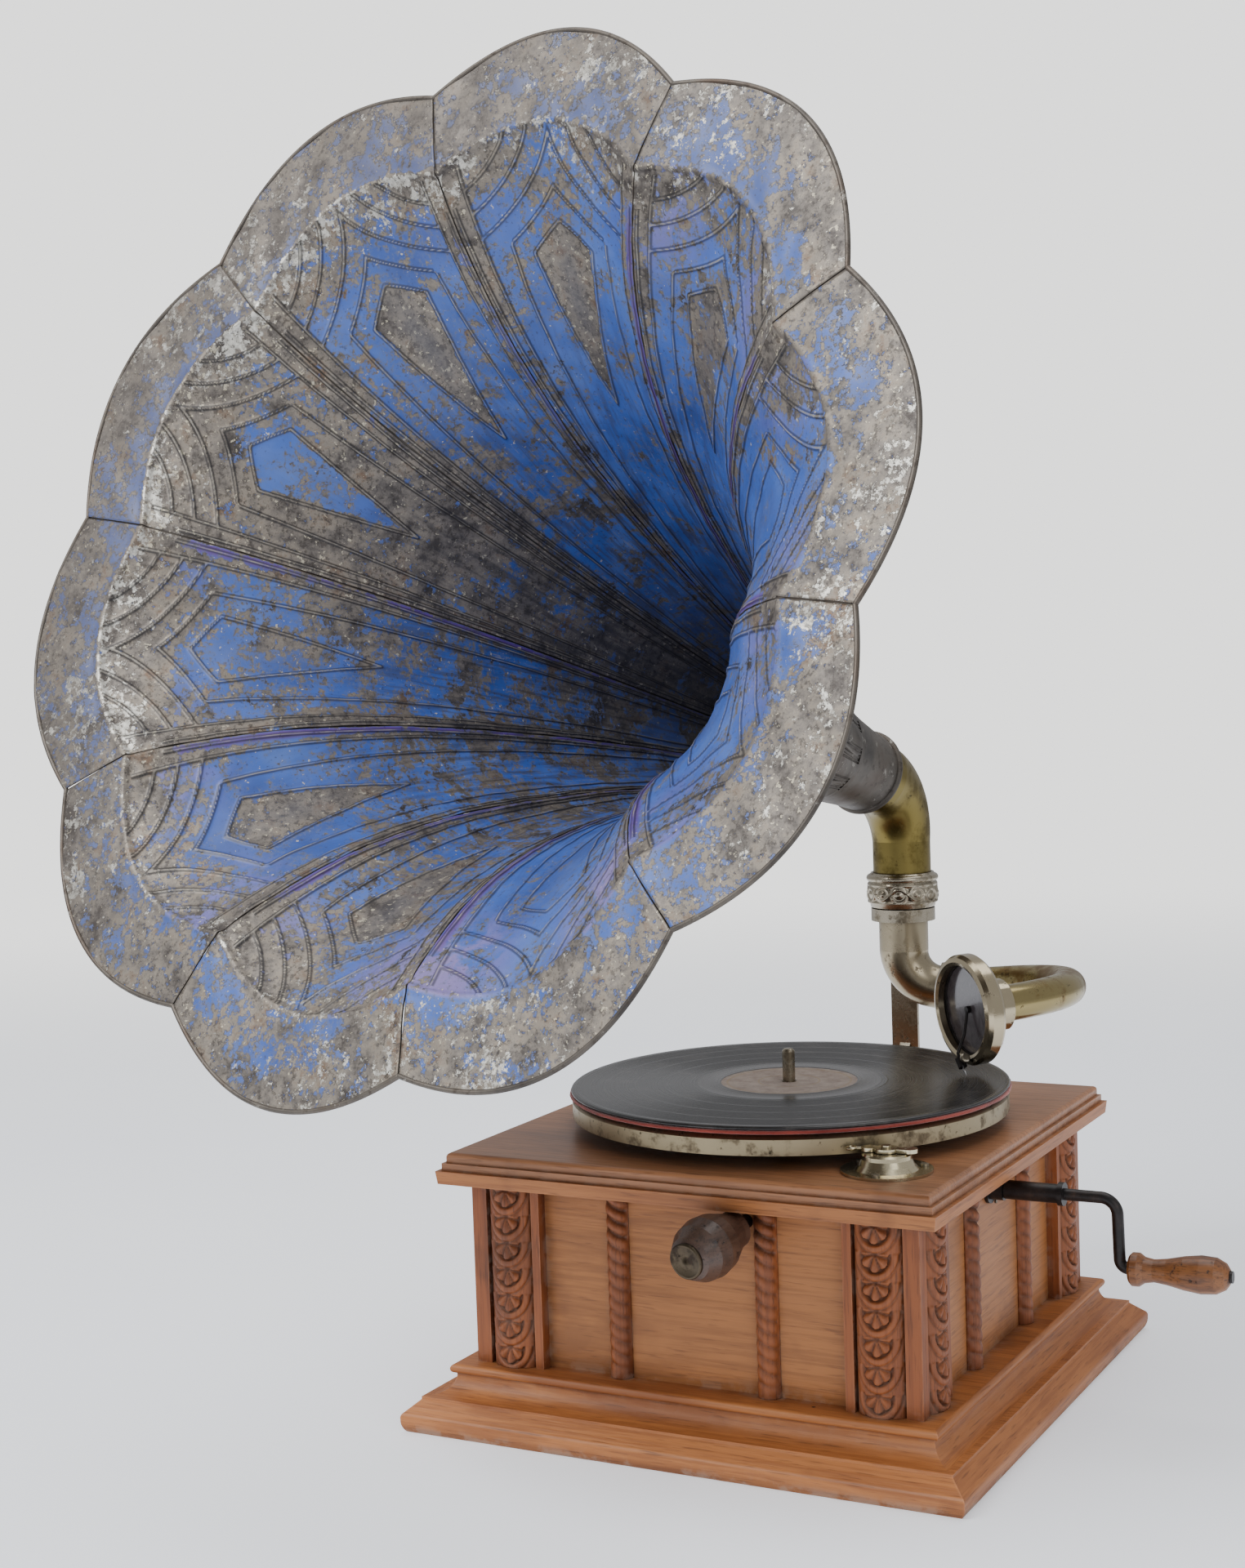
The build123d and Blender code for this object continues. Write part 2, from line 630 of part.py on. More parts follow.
pinion = gear(
    CRANK_PINION_TEETH,
    0,
    6,
    CRANK_R,
    module=2 * CRANK_PINION_R / CRANK_PINION_TEETH,
)
parts["crank_pinion"] = (
    Plane(origin=(BARREL_X + CROWN_R - 3.5, BARREL_Y, CRANK_Z), x_dir=(0, 0, -1), z_dir=(1, 0, 0))
    * pinion
)
handle_plane = Plane(
    origin=(HANDLE_FROM, BARREL_Y, CRANK_Z - CRANK_DROP + 0.1), x_dir=(0, 1, 0), z_dir=(1, 0, 0.0172)
)
handle_length = HANDLE_TO - HANDLE_FROM
handle = turned(
    handle_plane,
    [
        (7.5, 0.0),
        (9.0, 1.5),
        (9.0, 5.0),
        (7.0, 8.0),
        (6.1, 13.0),
        (7.0, 20.0),
        (9.0, 29.0),
        (10.2, 38.0),
        (9.6, 46.0),
        (7.0, 51.0),
        (4.0, handle_length),
    ],
)
handle -= along(handle_plane, ROD_R + 0.25, -2, handle_length + 4)
parts["crank_handle"] = handle

# ---------------------------------------------------------------- brake
parts["brake_base"] = turned(
    Plane(origin=(BRAKE_X, BRAKE_Y, DECK)),
    [
        (24.0, 0.0),
        (24.0, 1.6),
        (16.8, 1.6),
        (14.6, 4.0),
        (13.2, 7.0),
        (13.0, 9.0),
        (12.0, 10.0),
    ],
)
LEVER_Z = DECK + 10.3
LOOP_R = 2.4
loop_x = BRAKE_X - 18.4
loop_y = BRAKE_Y - 2.4
lever_outline = Circle(6.5) + Pos(12, 2) * Circle(4.2) + Pos(-9, -0.5) * Circle(4.4)
lever_outline += Pos(1, 0.5) * Rectangle(21, 5.5)
lever = Pos(BRAKE_X, BRAKE_Y, LEVER_Z) * extrude(lever_outline, 2.0)
lever += cylinder(2.6, LEVER_Z + 2, LEVER_Z + 3.4, BRAKE_X, BRAKE_Y)
hook_height = LEVER_Z + 1.0
hook_path = Line((BRAKE_X - 11, BRAKE_Y - 1, hook_height), (loop_x + LOOP_R, loop_y, hook_height))
hook = sweep(Plane(origin=hook_path @ 0, z_dir=hook_path % 0) * Circle(0.9), path=hook_path)
hook += Pos(loop_x, loop_y, hook_height) * Torus(LOOP_R, 0.9)
parts["brake_lever"] = lever + hook

screws = []
for angle in (35, 155, 275):
    spot = Pos(BRAKE_X, BRAKE_Y, 0) * Rot(0, 0, angle) * Pos(20.0, 0, 0)
    screws.append(spot * cylinder(2.2, DECK + 1.6, DECK + 2.9))

# ---------------------------------------------------------------- bracket and collar
BRACKET_X = -6.0
BRACKET_Y = 207.0
PLATE_Y = WALL_Y - PANEL_INSET
bracket_web = make_face(
    Plane(origin=(BRACKET_X, 0, 0), x_dir=(0, 1, 0), z_dir=(1, 0, 0))
    * Polyline(
        (PLATE_Y + 3, 58),
        (PLATE_Y + 3, 120),
        (152, 124),
        (188, 140),
        (BRACKET_Y, 160),
        (BRACKET_Y, 244),
        (BRACKET_Y + 9, 244),
        (BRACKET_Y + 9, 150),
        (192, 118),
        (160, 92),
        close=True,
    )
)
bracket = extrude(bracket_web, 3.5, both=True)
bracket += box((BRACKET_X - 26, PLATE_Y, 48), (BRACKET_X + 26, PLATE_Y + 4, 128))
bracket += box((BRACKET_X - 9, BRACKET_Y, 150), (BRACKET_X + 9, BRACKET_Y + 3, 240))
bracket += box((BRACKET_X - 7, PIVOT_Y + 14, 240), (BRACKET_X + 9, BRACKET_Y + 9, COLLAR_LOW))
bracket += cylinder(20.5, 244, COLLAR_LOW, PIVOT_X, PIVOT_Y)
bracket -= cylinder(ARM_R + BUSH_CLEAR, 230, COLLAR_LOW + 5, PIVOT_X, PIVOT_Y)
parts["horn_bracket"] = bracket

for x in (-18, 18):
    for z in (54, 122):
        plane = Plane(origin=(BRACKET_X + x, PLATE_Y + 4, z), z_dir=(0, 1, 0))
        screws.append(along(plane, 3.5, 0, 1.8))
for angle in (60, 180, 300):
    plane = crank_plane.offset(WALL_X - PANEL_INSET + 2.0)
    screws.append(plane * Rot(0, 0, angle) * Pos(9.7, 0, 0.5) * Cylinder(1.2, 1.0))
parts["wood_screws"] = group(screws)

ELBOW_LOW = 258.5
collar = revolved(
    [
        (ARM_R + 0.5, COLLAR_LOW),
        (20.5, COLLAR_LOW),
        (COLLAR_R - 0.8, COLLAR_LOW + 2),
        (COLLAR_R, COLLAR_LOW + 5),
        (COLLAR_R, COLLAR_HIGH - 5),
        (COLLAR_R - 1, COLLAR_HIGH - 2),
        (21.0, COLLAR_HIGH),
        (21.0, COLLAR_HIGH + 4),
        (19.8, COLLAR_HIGH + 5),
        (ELBOW_R + BUSH_CLEAR, COLLAR_HIGH + 5),
        (ELBOW_R + BUSH_CLEAR, ELBOW_LOW - 0.3),
        (17.9, ELBOW_LOW - 0.3),
        (17.9, COLLAR_LOW + 1.5),
        (ARM_R + 0.5, COLLAR_LOW + 1.5),
    ]
)
parts["collar_ring"] = Pos(PIVOT_X, PIVOT_Y, 0) * collar

# ---------------------------------------------------------------- horn
aim = math.radians(HORN_AIM)
tilt = math.radians(HORN_TILT)
horn_out = Vector(-math.sin(aim) * math.cos(tilt), -math.cos(aim) * math.cos(tilt), math.sin(tilt))
horn_side = Vector(math.cos(aim), -math.sin(aim), 0)
horn_plane = Plane(origin=(PIVOT_X, PIVOT_Y, HORN_AXIS_Z), x_dir=horn_side, z_dir=horn_out)


def bell_radius(s):
    """Radius of the bell along a seam, at a distance along the axis."""
    x = (s - HORN_RING_S) / (HORN_FOLD_S - HORN_RING_S)
    straight = 0.722
    return HORN_RING_R + (HORN_FOLD_R - HORN_RING_R) * (
        straight * x**1.5 + (1 - straight) * x**8
    )


def bell_stations():
    """Distance and seam radius of the stations from the neck, over the fold, to the edge."""
    share = [0.0, 0.12, 0.24, 0.36, 0.48, 0.60, 0.70, 0.79, 0.87, 0.93, 0.97, 0.99]
    reach = HORN_FOLD_S - HORN_NECK_S
    stations = [(HORN_NECK_S + reach * t, bell_radius(HORN_NECK_S + reach * t)) for t in share]
    rise = HORN_EDGE_S - HORN_FOLD_S
    width = HORN_EDGE_R - HORN_FOLD_R
    for t in (0.04, 0.3, 0.65, 1.0):
        stations.append((HORN_FOLD_S + rise * math.sqrt(t), HORN_FOLD_R + width * t))
    return stations


def petal_profile(angle):
    """Profile of a petal at an angle from its middle, which stands proud of the seams."""
    points = []
    for s, seam_radius in bell_stations():
        proud = HORN_SCALLOP * min(1.0, (seam_radius / HORN_FOLD_R) ** 1.2)
        points.append((seam_radius * (1 + proud * math.cos(math.radians(angle * PETALS / 2))), s))
    return points


def petal(number):
    """One curved sheet of the bell between two seams."""
    half = 180 / PETALS
    middle = HORN_PHASE + (number + 0.5) * 2 * half
    sections = []
    for step in range(-3, 4):
        angle = step / 3 * (half - SEAM_TRIM)
        inside = petal_profile(angle)
        outside = []
        for index, (radius, s) in enumerate(inside):
            before = inside[max(index - 1, 0)]
            after = inside[min(index + 1, len(inside) - 1)]
            slope = math.atan2(after[1] - before[1], after[0] - before[0])
            outside.append((radius + SHEET * math.sin(slope), s - SHEET * math.cos(slope)))
        turn = math.radians(middle + angle)
        outward = horn_side * math.cos(turn) + horn_plane.y_dir * math.sin(turn)
        plane = Plane(origin=horn_plane.origin, x_dir=outward, z_dir=outward.cross(horn_out))
        outline = [
            Spline(*inside),
            Line(inside[-1], outside[-1]),
            Spline(*reversed(outside)),
            Line(outside[0], inside[0]),
        ]
        sections.append(plane * make_face(Wire(outline)))
    return loft(sections)


for number in range(PETALS):
    parts[f"horn_petal_{number + 1:02d}"] = petal(number)


RIB_START = 0.25  # share of its full height that a rib has at the neck
RIB_TAPER = 60.0


def seam_rib(number):
    """Folded seam standing on the outside of the bell between two petals."""
    turn = math.radians(HORN_PHASE + number * 360 / PETALS)
    outward = horn_side * math.cos(turn) + horn_plane.y_dir * math.sin(turn)
    plane = Plane(origin=horn_plane.origin, x_dir=horn_out, z_dir=horn_out.cross(outward))
    low = []
    high = []
    for s, r in bell_stations():
        if r < HORN_FOLD_R - 3:
            height = min(1.0, RIB_START + (s - HORN_NECK_S) / RIB_TAPER)
            low.append((s - 1.2, r + 1.6))
            high.append((s - 1.2 - 1.8 * height, r + 1.6 + 2.4 * height))
    outline = [
        Spline(*low),
        Line(low[-1], high[-1]),
        Spline(*reversed(high)),
        Line(high[0], low[0]),
    ]
    return extrude(make_face(plane * Wire(outline)), 1.4, both=True)


parts["seam_ribs"] = group(seam_rib(number) for number in range(PETALS))

neck_outline = []
for s in (HORN_RING_S + 0.8, 66, 86, HORN_NECK_S - 0.5):
    neck_outline.append((bell_radius(s) + SHEET, s))
for s in (HORN_NECK_S - 0.5, 86, 66, HORN_RING_S + 0.8):
    neck_outline.append((bell_radius(s), s))
neck = revolved(neck_outline)
ring = Pos(0, 0, HORN_RING_S) * Torus(HORN_RING_R + 0.4, 2.6)
ring -= Pos(0, 0, HORN_RING_S) * Cylinder(ELBOW_END_R + 0.02, 20)
parts["horn_neck"] = horn_plane * (neck + ring)

tangent = ELBOW_BEND_R * math.tan(math.radians(90 - HORN_TILT) / 2)
bend_low = Vector(PIVOT_X, PIVOT_Y, HORN_AXIS_Z - tangent)
bend_high = Vector(PIVOT_X, PIVOT_Y, HORN_AXIS_Z) + horn_out * tangent


def elbow_pipe(start_r, end_r):
    """Elbow from the collar round to the horn's neck, widening on the way."""
    rise = Line((PIVOT_X, PIVOT_Y, ELBOW_LOW), bend_low)
    level = Vector(-math.sin(aim), -math.cos(aim), 0)
    middle_turn = math.radians(90 - HORN_TILT) / 2
    centre = bend_low + level * ELBOW_BEND_R
    half_way = (
        centre
        - level * (ELBOW_BEND_R * math.cos(middle_turn))
        + Vector(0, 0, 1) * (ELBOW_BEND_R * math.sin(middle_turn))
    )
    arc = ThreePointArc(bend_low, half_way, bend_high)
    out = Line(bend_high, Vector(PIVOT_X, PIVOT_Y, HORN_AXIS_Z) + horn_out * (HORN_RING_S + 2))
    pipe = sweep(Plane(origin=rise @ 0, z_dir=rise % 0) * Circle(start_r), path=rise)
    sections = []
    for share in (0.0, 0.5, 1.0):
        spot = Plane(origin=arc @ share, x_dir=horn_side, z_dir=arc % share)
        sections.append(spot * Circle(start_r + (end_r - start_r) * share))
    pipe += sweep(sections, path=arc, multisection=True)
    pipe += sweep(Plane(origin=out @ 0, z_dir=out % 0) * Circle(end_r), path=out)
    return pipe


parts["horn_elbow"] = elbow_pipe(ELBOW_R, ELBOW_END_R) - elbow_pipe(ELBOW_R - 1.5, ELBOW_END_R - 1.5)

# ---------------------------------------------------------------- tone arm
heading = math.radians(ARM_HEADING)
rise = math.radians(ARM_RISE)
roll = math.radians(ARM_ROLL)
level = Vector(math.cos(heading), math.sin(heading), 0)
outlet_dir = level * math.cos(rise) + Vector(0, 0, math.sin(rise))
outlet = Vector(PIVOT_X, PIVOT_Y, ARM_OUTLET_Z) + level * ARM_BEND_R
arm_turn = math.radians(90 + ARM_RISE)
bend_top = Vector(PIVOT_X, PIVOT_Y, ARM_OUTLET_Z + ARM_BEND_R)
bend_middle = bend_top + level * ARM_BEND_R
arm_side = (-math.sin(heading), math.cos(heading), 0)
ARM_OUTLET_R = ARM_R * 0.86  # the pipe narrows towards its outlet


def arm_elbow(radius, extra):
    """Pipe that hangs in the collar and turns level towards the outlet."""
    drop = Line((PIVOT_X, PIVOT_Y, COLLAR_LOW + 3.6 + extra), bend_top)
    mid, end = (
        bend_middle - (level * math.cos(turn) + Vector(0, 0, math.sin(turn))) * ARM_BEND_R
        for turn in (arm_turn / 2, arm_turn)
    )
    arc = ThreePointArc(bend_top, mid, end)
    pipe = sweep(Plane(origin=drop @ 0, z_dir=drop % 0) * Circle(radius), path=drop)
    sections = []
    for share in (0.0, 0.5, 1.0):
        spot = Plane(origin=arc @ share, x_dir=arm_side, z_dir=arc % share)
        sections.append(spot * Circle(radius * (1 + (ARM_OUTLET_R / ARM_R - 1) * share)))
    pipe += sweep(sections, path=arc, multisection=True)
    return pipe, end


ARM_WALL = 2.5
elbow_solid, elbow_end = arm_elbow(ARM_R, 0)
elbow_bore, _ = arm_elbow(ARM_R - ARM_WALL, 3)
outlet_plane = Plane(origin=elbow_end, z_dir=outlet_dir)
arm = elbow_solid
arm += cylinder(17.6, COLLAR_LOW + 1.7, COLLAR_LOW + 3.6, PIVOT_X, PIVOT_Y)
arm += along(outlet_plane, 16.0, -1.0, 3.5)
arm -= elbow_bore
arm -= along(outlet_plane, ARM_OUTLET_R - ARM_WALL, -4.0, 12.0)
parts["tone_arm_elbow"] = arm

tube_y = Vector(-math.sin(heading), math.cos(heading), 0)
tube_up = outlet_dir.cross(tube_y)
tube_side = tube_y * math.cos(roll) - tube_up * math.sin(roll)
JOINT_AT = 2.5 + GAP
tube_start = elbow_end + outlet_dir * JOINT_AT


def on_tube(turn_degrees):
    """Centre line of the tube after it has turned by an angle."""
    turn = math.radians(turn_degrees)
    straight = 4.0
    return (
        tube_start
        + outlet_dir * (straight + TUBE_BEND_R * math.sin(turn))
        - tube_side * (TUBE_BEND_R * (1 - math.cos(turn)))
    )


tube_arc = ThreePointArc(on_tube(0), on_tube(TUBE_TURN / 2), on_tube(TUBE_TURN))
tube_lead = Line(tube_start, on_tube(0))
box_dir = Vector(tube_arc % 1)
TAIL = 10.5
tube_tail = Line(tube_arc @ 1, Vector(tube_arc @ 1) + box_dir * TAIL)


def bent_tube(radius):
    """The long curved tube of the tone arm, with a straight length at each end."""
    bend = sweep(Plane(origin=tube_arc @ 0, z_dir=tube_arc % 0) * Circle(radius), path=tube_arc)
    lead = sweep(Plane(origin=tube_lead @ 0, z_dir=tube_lead % 0) * Circle(radius), path=tube_lead)
    tail = sweep(Plane(origin=tube_tail @ 0, z_dir=tube_tail % 0) * Circle(radius), path=tube_tail)
    return bend + lead + tail


arm_tube = bent_tube(TUBE_R)
arm_tube += along(Plane(origin=tube_start, z_dir=outlet_dir), 15.0, 0, 3.0)
arm_tube -= bent_tube(TUBE_R - 1.6)
parts["tone_arm_tube"] = arm_tube

box_back = Vector(tube_tail @ 1)
BOX_SETBACK = 12.0
box_plane = Plane(
    origin=box_back + box_dir * BOX_SETBACK, x_dir=box_dir.cross(Vector(0, 0, 1)), z_dir=box_dir
)
parts["soundbox_rim"] = box_plane * revolved(
    [
        (26.0, 6.0),
        (28.0, 7.0),
        (30.5, 6.0),
        (SOUNDBOX_R, 3.5),
        (SOUNDBOX_R, -3.0),
        (30.5, -5.0),
        (28.2, -5.0),
        (28.2, 1.6),
        (26.0, 2.2),
    ]
)
parts["soundbox_back"] = box_plane * revolved(
    [
        (28.0, -2.6),
        (28.0, -6.5),
        (24.0, -9.0),
        (16.0, -10.5),
        (15.0, -12.0),
        (15.0, -21.0),
        (13.5, -22.0),
        (TUBE_R + 0.02, -22.0),
        (TUBE_R + 0.02, -12.0),
        (6.0, -12.0),
        (6.0, -4.6),
        (24.0, -2.6),
    ]
)
parts["gasket_rings"] = box_plane * group(
    (
        revolved([(28.0, 1.5), (28.0, 0.4), (25.5, 0.4), (25.5, 1.5)]),
        revolved([(28.0, -0.4), (28.0, -2.5), (25.5, -2.5), (25.5, -0.4)]),
    )
)
parts["mica_diaphragm"] = box_plane * Cylinder(27.8, 0.7)

down = Vector(0, 0, -1)
down = (down - box_dir * down.dot(box_dir)).normalized()
side = Vector(0, 0, 1).cross(box_dir).normalized()
box_centre = box_plane.origin


def in_box(across, below, ahead):
    """Point by its place from the middle of the sound box."""
    return box_centre + side * across + down * below + box_dir * ahead


CHUCK_AHEAD = 10.6
chuck_at = in_box(4.0, 29.0, CHUCK_AHEAD)
tip_below = (box_centre.Z - RECORD_TOP - GAP) / -down.Z
tip = in_box(9.0, tip_below - CHUCK_AHEAD * abs(box_dir.Z), CHUCK_AHEAD)
needle_dir = (tip - chuck_at).normalized()
bar_points = [in_box(0, 0, 2.0), in_box(0, 14.0, 5.0), in_box(1.0, 24.0, CHUCK_AHEAD)]
bar_points.append(chuck_at - needle_dir * 2.0)
bar_path = Polyline(*bar_points)
bar = sweep(
    Plane(origin=bar_path @ 0, z_dir=bar_path % 0) * Circle(0.9), path=bar_path, transition=Transition.ROUND
)
bar += Plane(origin=in_box(0, 0, 0.4), z_dir=box_dir) * Pos(0, 0, 1.2) * Cylinder(2.0, 2.4)
chuck_plane = Plane(origin=chuck_at, z_dir=needle_dir)
NEEDLE_R = 0.7
bar += along(chuck_plane, 2.6, -3.0, 6.0)
bar -= along(chuck_plane, NEEDLE_R + 0.05, -1.0, 8.0)
parts["stylus_bar"] = bar
needle_length = (tip - chuck_at).length
parts["needle"] = turned(
    chuck_plane, [(NEEDLE_R, -1.0), (NEEDLE_R, needle_length - 3.0), (0.1, needle_length)]
)
parts["needle_screw"] = turned(
    Plane(origin=chuck_at, z_dir=box_dir.cross(needle_dir)),
    [(0.8, 2.7), (0.8, 4.5), (2.4, 4.5), (2.8, 5.2), (2.8, 6.8), (2.0, 7.4)],
)

# ---------------------------------------------------------------- front knob
parts["speed_rod"] = along(knob_front, KNOB_ROD_R, -16.0, 26.0)
parts["speed_knob"] = turned(
    knob_front.offset(10.0),
    [
        (8.0, 0.0),
        (10.0, 1.5),
        (10.2, 6.0),
        (12.0, 11.0),
        (15.5, 20.0),
        (16.5, 28.0),
        (15.2, 36.0),
        (11.5, 43.0),
        (8.0, 46.0),
        (6.8, 46.6),
    ],
)

os.makedirs("parts", exist_ok=True)
for name, shape in parts.items():
    export_step(shape, f"parts/{name}.step")
print(len(parts), "nodes")
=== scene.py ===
"""Looks of the wind-up horn gramophone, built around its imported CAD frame. Lengths are in metres."""

import math

import bpy
import numpy as np
from mathutils import Matrix, Vector

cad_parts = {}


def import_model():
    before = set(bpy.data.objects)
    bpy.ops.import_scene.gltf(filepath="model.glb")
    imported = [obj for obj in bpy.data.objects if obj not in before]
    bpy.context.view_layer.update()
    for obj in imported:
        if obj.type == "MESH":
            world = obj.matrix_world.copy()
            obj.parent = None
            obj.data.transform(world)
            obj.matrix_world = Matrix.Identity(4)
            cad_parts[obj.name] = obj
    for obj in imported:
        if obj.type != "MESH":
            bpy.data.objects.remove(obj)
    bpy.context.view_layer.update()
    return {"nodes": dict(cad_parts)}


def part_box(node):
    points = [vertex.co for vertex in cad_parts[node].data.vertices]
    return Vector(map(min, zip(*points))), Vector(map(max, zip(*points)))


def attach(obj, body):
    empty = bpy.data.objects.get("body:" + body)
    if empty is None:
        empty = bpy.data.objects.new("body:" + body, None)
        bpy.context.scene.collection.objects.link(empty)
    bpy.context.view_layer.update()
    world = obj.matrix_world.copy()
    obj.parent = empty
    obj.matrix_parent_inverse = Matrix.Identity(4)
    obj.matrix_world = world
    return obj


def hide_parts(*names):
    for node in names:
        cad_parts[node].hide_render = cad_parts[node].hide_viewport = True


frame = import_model()
NODES = frame["nodes"]
MM = 0.001


# ---------------------------------------------------------------- colours and node graphs

def tint(red, green, blue):
    """A colour given as 0 to 255 on a screen, as the renderer's linear colour."""
    linear = []
    for part in (red, green, blue):
        share = part / 255
        linear.append(share / 12.92 if share <= 0.04045 else ((share + 0.055) / 1.055) ** 2.4)
    return (*linear, 1.0)


class Graph:
    """A material's node graph, with short calls for the nodes that it is made of."""

    def __init__(self, name):
        self.material = bpy.data.materials.new(name)
        self.material.use_nodes = True
        self.tree = self.material.node_tree
        self.shader = self.tree.nodes["Principled BSDF"]
        self.place = self.node("ShaderNodeTexCoord").outputs["Object"]

    def node(self, kind, **settings):
        made = self.tree.nodes.new(kind)
        for name, value in settings.items():
            setattr(made, name, value)
        return made

    def put(self, socket, value):
        """Links a node's output to the socket, or sets it to a plain value."""
        if isinstance(value, bpy.types.NodeSocket):
            self.tree.links.new(value, socket)
        else:
            socket.default_value = value

    def calc(self, operation, first, second=0.0, third=0.0):
        made = self.node("ShaderNodeMath", operation=operation)
        for socket, value in zip(made.inputs, (first, second, third)):
            self.put(socket, value)
        return made.outputs[0]

    def times(self, first, second):
        return self.calc("MULTIPLY", first, second)

    def plus(self, first, second):
        return self.calc("ADD", first, second)

    def minus(self, first, second):
        return self.calc("SUBTRACT", first, second)

    def stretched(self, stretch, source=None):
        made = self.node("ShaderNodeMapping")
        self.put(made.inputs["Vector"], source or self.place)
        made.inputs["Scale"].default_value = stretch
        return made.outputs[0]

    def noise(self, scale, detail=4.0, rough=0.55, bend=0.0, source=None):
        made = self.node("ShaderNodeTexNoise")
        self.put(made.inputs["Vector"], source or self.place)
        self.put(made.inputs["Scale"], scale)
        self.put(made.inputs["Detail"], detail)
        self.put(made.inputs["Roughness"], rough)
        self.put(made.inputs["Distortion"], bend)
        return made.outputs["Fac"]

    def step(self, value, low, high):
        """0 below low and 1 above high, smooth between; low may be the larger, which turns it round."""
        made = self.node("ShaderNodeMapRange", interpolation_type="SMOOTHSTEP")
        self.put(made.inputs["Value"], value)
        turned = low > high
        self.put(made.inputs["From Min"], min(low, high))
        self.put(made.inputs["From Max"], max(low, high))
        self.put(made.inputs["To Min"], 1.0 if turned else 0.0)
        self.put(made.inputs["To Max"], 0.0 if turned else 1.0)
        return made.outputs[0]

    def spread(self, value, low, high):
        """Takes 0..1 to low..high in a straight line."""
        made = self.node("ShaderNodeMapRange")
        self.put(made.inputs["Value"], value)
        self.put(made.inputs["To Min"], low)
        self.put(made.inputs["To Max"], high)
        return made.outputs[0]

    def blend(self, amount, first, second, how="MIX"):
        made = self.node("ShaderNodeMix", data_type="RGBA", blend_type=how)
        self.put(made.inputs["Factor"], amount)
        self.put(made.inputs[6], first)
        self.put(made.inputs[7], second)
        return made.outputs[2]

    def tinge(self, mask, strength, base, colour):
        """Lays a colour over the base at no more than the strength, where the mask says."""
        return self.blend(self.spread(mask, 0.0, strength), base, colour)

    def ramp(self, value, *stops):
        """A colour ramp through (place, colour) stops."""
        made = self.node("ShaderNodeValToRGB")
        band = made.color_ramp
        while len(band.elements) < len(stops):
            band.elements.new(0.5)
        for element, (place, colour) in zip(band.elements, stops):
            element.position = place
            element.color = colour
        self.put(made.inputs[0], value)
        return made.outputs[0]

    def attribute(self, name):
        return self.node("ShaderNodeAttribute", attribute_name=name).outputs["Fac"]

    def axis(self, which, source=None):
        made = self.node("ShaderNodeSeparateXYZ")
        self.put(made.inputs[0], source or self.place)
        return made.outputs[which]

    def bump(self, height, distance, normal=None):
        made = self.node("ShaderNodeBump")
        made.inputs["Distance"].default_value = distance
        self.put(made.inputs["Height"], height)
        if normal is not None:
            self.put(made.inputs["Normal"], normal)
        return made.outputs[0]

    def finish(self, **sockets):
        """Sets the shader's sockets, named with _ for a space, and hands back the material."""
        for name, value in sockets.items():
            self.put(self.shader.inputs[name.replace("_", " ").title().replace("Ior", "IOR")], value)
        return self.material


def edge_wear(graph, radius):
    """How sharply the surface turns near a point, from 0 on a flat face to 1 on an edge."""
    rounded = graph.node("ShaderNodeBevel", samples=4)
    rounded.inputs["Radius"].default_value = radius
    plain = graph.node("ShaderNodeNewGeometry")
    product = graph.node("ShaderNodeVectorMath", operation="DOT_PRODUCT")
    graph.put(product.inputs[0], rounded.outputs[0])
    graph.put(product.inputs[1], plain.outputs["Normal"])
    return graph.step(product.outputs["Value"], 0.99, 0.80)


def crevice(graph, reach):
    """1 in corners and hollows, 0 in the open."""
    shade = graph.node("ShaderNodeAmbientOcclusion", samples=6)
    shade.inputs["Distance"].default_value = reach
    return graph.step(shade.outputs["AO"], 0.85, 0.35)


# ---------------------------------------------------------------- materials

